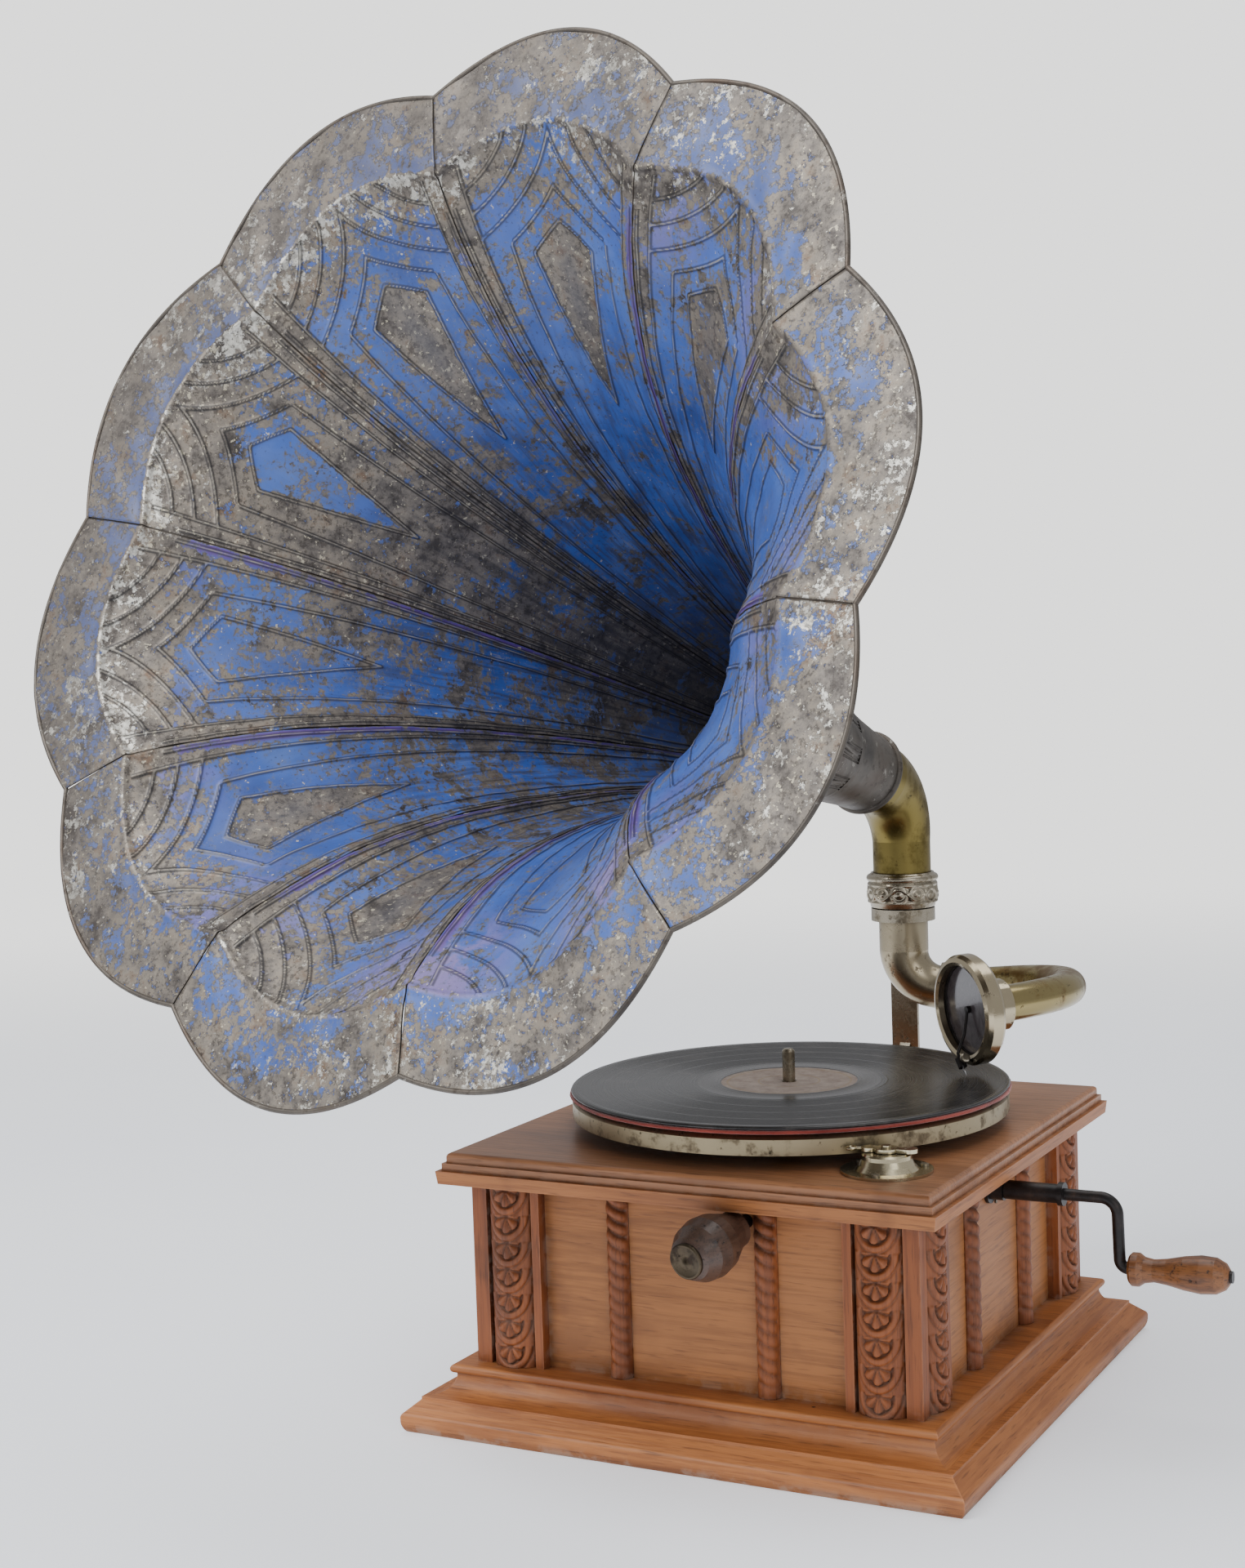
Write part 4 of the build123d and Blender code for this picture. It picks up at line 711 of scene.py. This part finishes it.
def petal(number):
    along, radius, depth = bell_profile()
    half_angle = math.pi / PETALS
    share = np.linspace(-1.0, 1.0, COLUMNS)
    half_width = radius * half_angle
    reach = half_angle - SEAM_GAP / radius
    angle = share[None, :] * reach[:, None]
    flare = np.minimum(1.0, (radius / FOLD_R) ** 1.2)
    grown = radius[:, None] * (1.0 + SCALLOP * flare[:, None] * np.cos(5.0 * angle))
    turn = math.radians(FIRST_SEAM + (number - 0.5) * 360.0 / PETALS) + angle
    centre = np.array(PIVOT) + along[:, None, None] * horn_out
    skin = (centre + grown[..., None]
            * (np.cos(turn)[..., None] * horn_side + np.sin(turn)[..., None] * horn_up))
    u = angle * radius[:, None]
    d = np.repeat(depth[:, None], COLUMNS, 1)
    half = np.repeat(half_width[:, None], COLUMNS, 1)
    inward = grid_normals(skin)
    if np.sum(inward[0, COLUMNS // 2] * horn_out) < 0:
        inward = -inward
    line = line_distance(u, d, half)
    on_flange = d < 0.0
    line = np.minimum(line / (0.40 + 0.60 * np.minimum(half / half.max() * 1.2, 1.0)), FAR)
    ridge = 0.75 * MM * (1.0 - smooth_step(line, 0.0002, 0.0016))
    bead = 1.3 * MM * np.exp(-((d - 0.0006) / 0.0017) ** 2)
    strip = 0.35 * MM * smooth_step(np.abs(u) - border_at(half), 0.0, 0.001) * smooth_step(d, 0.002, 0.01)
    relief = np.where(on_flange, 0.0, ridge + strip) + bead + dents(u, d, number)
    front = skin + inward * relief[..., None]
    back = skin - inward * (SHEET - relief[..., None])

    face_wear, silver, corner_lilac, kite_blue = PETAL_AGE[number]
    kite = kite_inside(u, d)
    near_fold = 1.0 - smooth_step(d, 0.0, 0.045)
    in_strip = smooth_step(np.abs(u) - border_at(half), -0.002, 0.002)
    wear = face_wear + 0.30 * near_fold * (0.4 + silver) + 0.24 * in_strip
    wear = wear + kite * (0.55 * (1.0 - kite_blue) - 0.45 * kite_blue)
    outward = np.clip(-d / (EDGE_R - FOLD_R), 0.0, 1.0)
    wear = np.where(on_flange, 0.47 + 0.18 * outward - 0.07 * np.sin(60 * d + 25 * u + number), wear)
    fleck = silver * (0.35 + 1.3 * near_fold) * (1.0 - 0.7 * kite)
    fleck = np.where(on_flange, 0.47 + 0.14 * outward + 0.16 * np.sin(3.1 * number + 30 * u), fleck)
    stripe_side = u + half
    stripe = smooth_step(stripe_side, 0.0, 0.001) * (1.0 - smooth_step(stripe_side, 0.07 * half, 0.14 * half))
    stripe = stripe * smooth_step(d, 0.012, 0.035) * (1.0 - 0.45 * (number in (1, 10)))
    wear = wear - 0.34 * stripe
    lilac = corner_lilac * (1.0 - smooth_step(d, 0.02, 0.07)) * smooth_step(np.abs(u), 0.0, 0.7 * half)
    lilac = np.where(on_flange, 0.0, lilac)
    deep = np.maximum(0.62 * smooth_step(d, 0.20, 0.46), 0.55 * (1.0 - kite_blue) * kite_core(u, d))
    # Painted shade on the flange, strongest towards its top and left.
    painted_flange_shade = np.where(on_flange, smooth_step(0.5 * np.sin(turn) - 0.6 * np.cos(turn), -0.4, 0.5), 0.0)
    values = {"painted_flange_shade": painted_flange_shade, "wear": wear, "fleck": fleck, "line": np.where(on_flange, FAR, line) / MM,
              "stripe": stripe, "lilac": lilac, "deep": deep, "across": u, "down": np.maximum(d, 0.0),
              "petal": np.full_like(u, number)}

    body = Body()
    rows = len(along)
    faces_front, faces_back, strip_faces = shell_faces(rows, COLUMNS)
    points = np.concatenate([front.reshape(-1, 3), back.reshape(-1, 3)])
    doubled = {name: np.concatenate([data.ravel(), data.ravel()]) for name, data in values.items()}
    body.add(points, faces_front, 0, **doubled)
    body.faces.append(faces_back)
    body.slots.append(np.full(len(faces_back), 1, np.int32))
    body.faces.append(strip_faces)
    body.slots.append(np.full(len(strip_faces), 1, np.int32))
    wire_path = skin[0] * 0.35 + skin[1] * 0.65 - inward[0] * 0.5 * MM
    add_tube(body, wire_path, 1.3 * MM, 10, slot=1)
    lapped = slice(1, int(np.searchsorted(depth, depth[-1] - LAP_STOPS)))
    lap_path = back[lapped, 0] - inward[lapped, 0] * LAP_R * 0.6
    add_tube(body, lap_path, LAP_R, 8, slot=1)
    piece = body.make(f"enamel_petal_{number:02d}", ["horn_paint", "horn_metal"])
    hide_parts(f"horn_petal_{number:02d}")
    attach(piece, "horn")


def add_tube(body, path, radius, sides, slot=0):
    """A round bar along a path of points, closed at both ends with a dome."""
    path = np.asarray(path, float)
    heading = np.gradient(path, axis=0)
    heading /= np.linalg.norm(heading, axis=1, keepdims=True)
    guide = np.array([0.0, 0.0, 1.0]) if abs(heading[0][2]) < 0.9 else np.array([1.0, 0.0, 0.0])
    normals = []
    for way in heading:
        guide = guide - way * guide.dot(way)
        guide = guide / np.linalg.norm(guide)
        normals.append(guide)
    normals = np.array(normals)
    sides_way = np.cross(heading, normals)
    turn = np.linspace(0.0, 2.0 * math.pi, sides, endpoint=False)
    dome = ((-1.0, 0.02), (-0.8, 0.6), (-0.45, 0.9), (0.0, 1.0))
    rings = []
    for back, size in dome:
        rings.append((path[0] + heading[0] * radius * back, normals[0], sides_way[0], radius * size))
    for k in range(1, len(path) - 1):
        rings.append((path[k], normals[k], sides_way[k], radius))
    for back, size in reversed(dome):
        rings.append((path[-1] - heading[-1] * radius * back, normals[-1], sides_way[-1], radius * size))
    points = [at + size * (np.cos(turn)[:, None] * up + np.sin(turn)[:, None] * side)
              for at, up, side, size in rings]
    body.add(np.concatenate(points), grid_faces(len(rings), sides, closed=True), slot)


def folded_seams():
    """The folded joints outside the bell: a rounded rib at each seam that sinks away at the neck."""
    along, radius, depth = bell_profile()
    chosen = depth > 0.004
    at, away, depth = along[chosen][::2], radius[chosen][::2], depth[chosen][::2]
    slope = np.gradient(away, at)
    leaning = np.hypot(slope, 1.0)
    height = (RIB_HEIGHT * MM * smooth_step(depth[-1] - depth, 0.0, 0.040)
              * smooth_step(depth, 0.002, 0.012) + 0.1 * MM)
    turn = np.linspace(0.0, 2.0 * math.pi, 14, endpoint=False)
    body = Body()
    for number in range(PETALS):
        angle = math.radians(FIRST_SEAM + number * 360.0 / PETALS)
        radial = horn_side * math.cos(angle) + horn_up * math.sin(angle)
        across = np.cross(horn_out, radial)
        lift = (radial - slope[:, None] * horn_out) / leaning[:, None]
        ridge = np.array(PIVOT) + at[:, None] * horn_out + away[:, None] * radial
        centre = ridge + lift * (SHEET + height / 2.0 - 0.3 * MM)[:, None]
        size = np.ones(len(at))
        size[0] = size[-1] = 0.02
        rib_lift = (height / 2.0 + 0.3 * MM) * size
        points = (centre[:, None, :]
                  + (RIB_HALF_WIDTH * MM * size)[:, None, None] * np.cos(turn)[None, :, None] * across
                  + rib_lift[:, None, None] * np.sin(turn)[None, :, None] * lift[:, None, :])
        body.add(points.reshape(-1, 3), grid_faces(len(at), len(turn), closed=True), 0)
    piece = body.make("folded_seams", ["horn_metal"])
    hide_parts("seam_ribs")
    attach(piece, "horn")


for number in range(1, PETALS + 1):
    petal(number)
folded_seams()


# ---------------------------------------------------------------- carved wall pieces

PLINTH_TOP, WALL_TOP = 0.0343, 0.1357
WALL_X, WALL_Y = 0.1308, 0.1346
COLUMN_WIDTH, COLUMN_CENTRE, COLUMN_DEPTH, COLUMN_SUNK = 0.027, 0.023, 0.009, 0.005
PILASTER_WIDTH, PILASTER_CENTRE, PILASTER_DEPTH, PILASTER_SUNK = 0.013, 0.0435, 0.0065, 0.007
SHELLS = 7
SHELL_PITCH = (WALL_TOP - PLINTH_TOP) / SHELLS


def wall_spots(across):
    """(place, outward direction, sideways direction) for a pair of uprights on each of the four walls."""
    spots = []
    for sign in (-1, 1):
        for facing in (-1, 1):
            spots.append((np.array([sign * across[0], facing * WALL_Y, 0.0]), np.array([0.0, facing, 0.0]),
                          np.array([-facing, 0.0, 0.0])))
            spots.append((np.array([facing * WALL_X, sign * across[1], 0.0]), np.array([facing, 0.0, 0.0]),
                          np.array([0.0, facing, 0.0])))
    return spots


def shell_carving(u, v):
    """Carved depth over a column: fans that open downwards, each in a raised scallop band."""
    height = np.zeros_like(u)
    for k in range(SHELLS + 1):
        top = (k + 0.80) * SHELL_PITCH
        below = top - v
        away = np.hypot(u, below)
        around = np.arctan2(u, below)
        in_front = smooth_step(below, -0.0010, 0.0002)
        band = smooth_step(away, 0.0098, 0.0108) * (1.0 - smooth_step(away, 0.0122, 0.0138))
        groove = np.exp(-((away - 0.0096) / 0.0005) ** 2) + 0.8 * np.exp(-((away - 0.0141) / 0.0005) ** 2)
        lobes = np.abs(np.cos(3.5 * around))
        edge = 0.0080 + 0.0013 * lobes
        fan = (1.0 - smooth_step(away, edge - 0.0004, edge + 0.0002)) * smooth_step(away, 0.0008, 0.002)
        leaf = fan * lobes ** 0.9 * (0.45 + 0.55 * smooth_step(away, 0.001, 0.006))
        sunk = 1.0 - smooth_step(away, 0.0094, 0.0099)
        height += in_front * (0.55 * MM * band - 0.8 * MM * groove + sunk * (2.1 * MM * leaf - 1.25 * MM))
    return height


def rope_carving(u, v):
    """Turned beads cut slightly on the slant, deep at the top of the pilaster and worn lower down."""
    slant = v + 0.35 * u
    bead = np.abs(np.sin(math.pi * slant / 0.0072)) ** 0.7
    deep = 0.50 + 0.70 * smooth_step(v, 0.070, 0.080)
    plain_foot = smooth_step(v, 0.004, 0.008)
    return -1.9 * MM * (1.0 - bead) * deep * plain_foot


def carved_uprights(name, node, across, width, deep, sunk, carve, rows, columns):
    """Half-round uprights on the walls, with their carving as true relief, all in one piece."""
    body = Body()
    turn = np.linspace(-math.pi / 2, math.pi / 2, columns)
    v = np.linspace(0.0, WALL_TOP - PLINTH_TOP, rows)
    turns, heights = np.meshgrid(turn, v)
    sideways = width / 2 * np.sin(turns)
    outward = deep * np.cos(turns)
    flat = sideways * 1.15
    relief = carve(flat, heights) * smooth_step(np.cos(turns), 0.05, 0.45)
    inset = np.cos(turns) * relief
    shift = np.sin(turns) * relief
    for place, out, side in wall_spots(across):
        front = (place + side * (sideways + shift)[..., None] + out * (outward + inset - sunk)[..., None]
                 + np.array([0.0, 0.0, 1.0]) * (heights + PLINTH_TOP)[..., None])
        back = (place + side * (sideways * 0.98)[..., None] - out * sunk
                + np.array([0.0, 0.0, 1.0]) * (heights + PLINTH_TOP)[..., None])
        faces_front, faces_back, strip = shell_faces(rows, columns)
        start = body.count
        # Painted shade mask: how deep the carving is cut, which the oak material darkens.
        hollow = np.clip(-relief / (1.2 * MM), 0.0, 1.0).ravel() * 0.8
        body.add(np.concatenate([front.reshape(-1, 3), back.reshape(-1, 3)]), faces_front,
                 hollow=np.concatenate([hollow, hollow]))
        body.faces.append(np.concatenate([faces_back, strip]) + start)
        body.slots.append(np.zeros(len(faces_back) + len(strip), np.int32))
    piece = body.make(name, ["oak_upright"])
    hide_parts(node)
    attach(piece, "cabinet")


carved_uprights("shell_columns", "carved_columns", (WALL_X - COLUMN_CENTRE, WALL_Y - COLUMN_CENTRE),
                COLUMN_WIDTH, COLUMN_DEPTH, COLUMN_SUNK, shell_carving, 210, 60)
carved_uprights("rope_pilasters", "bead_pilasters", (PILASTER_CENTRE, PILASTER_CENTRE), PILASTER_WIDTH,
                PILASTER_DEPTH, PILASTER_SUNK, rope_carving, 150, 32)


# ---------------------------------------------------------------- turned pieces

def add_lathe(body, outline, centre, sides, slot=0, ripple=None):
    """A turned ring from an outline of (radius, height) that closes on itself."""
    outline = np.asarray(outline, float)
    turn = np.linspace(0.0, 2.0 * math.pi, sides, endpoint=False)
    radius = np.repeat(outline[:, :1], sides, 1)
    height = np.repeat(outline[:, 1:], sides, 1)
    if ripple is not None:
        radius = radius + ripple(turn[None, :], height, radius)
    points = np.stack([centre[0] + radius * np.cos(turn), centre[1] + radius * np.sin(turn), height], -1)
    points = np.concatenate([points, points[:1]])
    body.add(points, grid_faces(len(outline) + 1, sides, closed=True), slot)


GROOVE_PITCH = 0.00095
GROOVE_DEPTH = 0.00012
PIN_HOLE_R = 0.0038


def record():
    """The record: a raised edge, bands of fine grooves, a smooth run-out and a label in a shallow recess."""
    low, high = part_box("record")
    centre = (low + high) / 2
    outer = (high.x - low.x) / 2
    top, bottom = high.z, low.z
    hole = PIN_HOLE_R
    outline = [(hole, bottom), (outer - 0.0008, bottom), (outer, bottom + 0.0006), (outer, top - 0.0006),
               (outer - 0.0008, top), (outer - 0.0030, top)]
    pitch = GROOVE_PITCH
    groove_from, groove_to = outer - 0.0040, 0.0535
    for k in range(int((groove_from - groove_to) / pitch)):
        here = groove_from - k * pitch
        shallow = 0.3 if k % 17 == 0 else 1.0
        outline += [(here, top), (here - pitch / 2, top - GROOVE_DEPTH * shallow)]
    outline += [(0.0530, top), (0.0520, top - 0.0001), (0.0400, top - 0.0001), (0.0394, top + 0.0001),
                (0.0388, top - 0.0003), (hole + 0.001, top - 0.0003), (hole, top - 0.0006)]
    body = Body()
    add_lathe(body, outline, centre, 256)
    piece = body.make("grooved_record", ["shellac"])
    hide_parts("record")
    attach(piece, "turntable")


def felt_mat():
    """The felt under the record: its edge is soft and a little uneven."""
    low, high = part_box("felt_mat")
    centre = (low + high) / 2
    outer = (high.x - low.x) / 2 - 0.0003
    middle = (low.z + high.z) / 2
    edge = [(outer - 0.0012 + 0.0012 * math.cos(a), middle - (high.z - low.z) * 0.49 * math.sin(a))
            for a in np.linspace(math.pi / 2, -math.pi / 2, 9)]
    outline = [(0.0095, low.z + 0.00002)] + edge + [(0.0095, high.z - 0.00002)]

    def frayed(turn, height, radius):
        wave = (np.sin(17 * turn) * 0.12 + np.sin(41 * turn + 1.3) * 0.10
                + np.sin(97 * turn + height * 3000) * 0.10)
        return (wave - 0.25) * MM * smooth_step(radius, outer - 0.003, outer)

    body = Body()
    add_lathe(body, outline, centre, 360, ripple=frayed)
    piece = body.make("felt_disc", ["felt"])
    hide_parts("felt_mat")
    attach(piece, "turntable")


def add_turned(body, outline, origin, axis, sides, slot=0, lift=None):
    """A turned solid about any axis, from an outline of (radius, distance along the axis)."""
    axis = np.asarray(axis, float) / np.linalg.norm(axis)
    side = np.cross(axis, [0.0, 0.0, 1.0] if abs(axis[2]) < 0.9 else [1.0, 0.0, 0.0])
    side /= np.linalg.norm(side)
    other = np.cross(axis, side)
    outline = np.asarray(outline, float)
    turn = np.linspace(0.0, 2.0 * math.pi, sides, endpoint=False)
    radius = np.repeat(outline[:, :1], sides, 1)
    along = np.repeat(outline[:, 1:], sides, 1)
    if lift is not None:
        radius = radius + lift(turn[None, :], along, radius)
    points = (np.asarray(origin, float) + along[..., None] * axis
              + radius[..., None]
              * (np.cos(turn)[None, :, None] * side + np.sin(turn)[None, :, None] * other))
    body.add(np.concatenate([points, points[:1]]), grid_faces(len(outline) + 1, sides, closed=True), slot)


COLLAR_SCROLLS = 6


def collar():
    """The nickelled collar under the horn's elbow: a rolled rim over a belt of scrolls and bosses."""
    low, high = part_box("collar_ring")
    outer = (high.x - low.x) / 2
    belt_low, belt_high = low.z + 0.0040, high.z - 0.0070
    inner = 0.0186

    def scrolls(turn, height, radius):
        share = (height - belt_low) / (belt_high - belt_low)
        on_belt = smooth_step(share, 0.02, 0.18) * (1.0 - smooth_step(share, 0.82, 0.98)) * (radius > 0.021)
        phase = turn * COLLAR_SCROLLS
        wave = 0.5 + 0.30 * np.sin(phase)
        stem = np.exp(-((share - wave) / 0.11) ** 2)
        boss_away = np.hypot((np.mod(phase, math.pi) - math.pi / 2) * 0.9, (share - 0.5) * 3.2)
        boss = np.exp(-(boss_away / 0.55) ** 2) + 0.7 * np.exp(-((boss_away - 1.25) / 0.25) ** 2)
        return on_belt * (0.0011 * np.maximum(stem, boss) - 0.0011)

    outline = [(inner, low.z), (outer - 0.0040, low.z), (outer - 0.0028, low.z + 0.0012),
               (outer - 0.0026, low.z + 0.0030)]
    outline += [(outer - 0.0010 + 0.0008 * math.sin(math.pi * t), belt_low + (belt_high - belt_low) * t)
                for t in np.linspace(0.0, 1.0, 40)]
    outline += [(outer - 0.0016, belt_high + 0.0008)]
    outline += [(outer - 0.0028 + 0.0024 * math.sin(a), high.z - 0.0034 - 0.0024 * math.cos(a))
                for a in np.linspace(0.3, math.pi - 0.4, 9)]
    outline += [(0.0205, high.z - 0.0008), (0.0203, high.z), (inner, high.z)]
    body = Body()
    add_turned(body, outline, ((low.x + high.x) / 2, (low.y + high.y) / 2, 0.0), (0, 0, 1), 288, lift=scrolls)
    piece = body.make("embossed_collar", ["nickel"])
    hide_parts("collar_ring")
    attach(piece, "cabinet")


KNOB_AXIS = [-0.140028, -0.980196, -0.140028]
KNOB_FOOT = [0.0325, -0.1276, 0.126]
KNOB_REACH = 0.0566     # from the foot to the end of the knob


def knob_cap():
    """Metal end cap let into the front knob, with a raised ring and shallow turned grooves."""
    axis = np.array(KNOB_AXIS)
    end = np.array(KNOB_FOOT) + axis * KNOB_REACH
    outline = [(0.0, -0.0025), (0.0092, -0.0025), (0.0095, 0.0002), (0.0088, 0.0009), (0.0080, 0.0007),
               (0.0076, 0.0002), (0.0050, 0.0005), (0.0046, 0.0001), (0.0030, 0.0003), (0.0, 0.0006)]
    body = Body()
    add_turned(body, outline, end, axis, 64)
    piece = body.make("knob_end_cap", ["cap_brass"])
    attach(piece, "speed_control")


record()
felt_mat()
collar()
knob_cap()


# ---------------------------------------------------------------- CAD nodes that carry over

OWN_MATERIAL = {
    "corner_posts": "oak_upright",
    "deck_board": "oak_deck",
    "brake_base": "pale_nickel",
    "brake_lever": "pale_nickel",
    "platter": "platter_tin",
    "soundbox_rim": "polished_nickel",
    "soundbox_back": "polished_nickel",
    "tone_arm_elbow": "warm_nickel",
    "stylus_bar": "black_iron",
    "left_panel": "oak_panel_side",
    "right_panel": "oak_panel_side",
}

for node_name, node in NODES.items():
    for k, material in enumerate(node.data.materials):
        chosen = OWN_MATERIAL.get(node_name, material.name.split(".")[0])
        node.data.materials[k] = MATERIALS[chosen]


# ---------------------------------------------------------------- floor, light and camera

FLOOR_REACH = 3.0
FLOOR_DROP = 0.0002     # the floor lies this far under the base


def studio_floor():
    """A pale floor that fades into the background all round, so that it has no visible edge."""
    graph = Graph("studio_floor")
    x, y = graph.axis(0), graph.axis(1)
    away = graph.calc("SQRT", graph.plus(graph.times(x, x), graph.times(y, y)))
    colour = graph.ramp(graph.noise(3.0, 2.0), (0.3, tint(222, 225, 232)), (0.7, tint(226, 229, 234)))
    material = graph.finish(base_color=colour, roughness=0.55, specular_ior_level=0.2,
                            emission_color=tint(226, 229, 234), emission_strength=0.62,
                            alpha=graph.step(away, 2.6, 0.9))
    size = FLOOR_REACH
    mesh = bpy.data.meshes.new("studio_floor")
    mesh.from_pydata([(-size, -size, 0), (size, -size, 0), (size, size, 0), (-size, size, 0)], [],
                     [(0, 1, 2, 3)])
    mesh.materials.append(material)
    floor = bpy.data.objects.new("studio_floor", mesh)
    floor.location = (0.0, 0.0, -FLOOR_DROP)
    bpy.context.scene.collection.objects.link(floor)


def studio_world():
    world = bpy.data.worlds.new("studio")
    bpy.context.scene.world = world
    world.use_nodes = True
    tree = world.node_tree
    lighting = tree.nodes["Background"]
    lighting.inputs["Color"].default_value = tint(228, 229, 232)
    lighting.inputs["Strength"].default_value = 0.62
    backdrop = tree.nodes.new("ShaderNodeBackground")
    backdrop.inputs["Color"].default_value = tint(229, 229, 228)
    backdrop.inputs["Strength"].default_value = 2.35
    ray = tree.nodes.new("ShaderNodeLightPath")
    chosen = tree.nodes.new("ShaderNodeMixShader")
    tree.links.new(ray.outputs["Is Camera Ray"], chosen.inputs[0])
    tree.links.new(lighting.outputs[0], chosen.inputs[1])
    tree.links.new(backdrop.outputs[0], chosen.inputs[2])
    tree.links.new(chosen.outputs[0], tree.nodes["World Output"].inputs["Surface"])


def lamp(name, place, target, size, power, colour=(1.0, 1.0, 1.0)):
    light = bpy.data.lights.new(name, "AREA")
    light.shape = "RECTANGLE"
    light.size, light.size_y = size
    light.energy = power
    light.color = colour
    holder = bpy.data.objects.new(name, light)
    holder.location = place
    holder.rotation_euler = (Vector(target) - Vector(place)).to_track_quat("-Z", "Y").to_euler()
    bpy.context.scene.collection.objects.link(holder)


CAMERA_LENS = 52.58
CAMERA_PLACE = Vector((0.536, -1.194, 0.432))
CAMERA_AZIMUTH, CAMERA_DOWN, CAMERA_ROLL = (math.radians(a) for a in (28.03, 3.66, -1.95))


def camera():
    back = Vector((math.sin(CAMERA_AZIMUTH) * math.cos(CAMERA_DOWN),
                   -math.cos(CAMERA_AZIMUTH) * math.cos(CAMERA_DOWN), math.sin(CAMERA_DOWN)))
    right = Vector((math.cos(CAMERA_AZIMUTH), math.sin(CAMERA_AZIMUTH), 0.0))
    up = back.cross(right)
    cosine, sine = math.cos(CAMERA_ROLL), math.sin(CAMERA_ROLL)
    columns = (right * cosine + up * sine, up * cosine - right * sine, back)
    view = bpy.data.cameras.new("camera")
    view.lens = CAMERA_LENS
    holder = bpy.data.objects.new("camera", view)
    holder.matrix_world = Matrix.Translation(CAMERA_PLACE) @ Matrix(columns).transposed().to_4x4()
    bpy.context.scene.collection.objects.link(holder)
    bpy.context.scene.camera = holder


studio_floor()
studio_world()
lamp("key", (-1.0, -2.0, 2.2), (0.0, 0.0, 0.35), (1.5, 1.5), 88.0)
lamp("fill", (2.2, -1.6, 1.2), (0.0, 0.0, 0.2), (1.4, 1.4), 11.0)
lamp("top", (0.0, 0.4, 2.4), (0.0, 0.0, 0.2), (2.0, 2.0), 24.0)
camera()
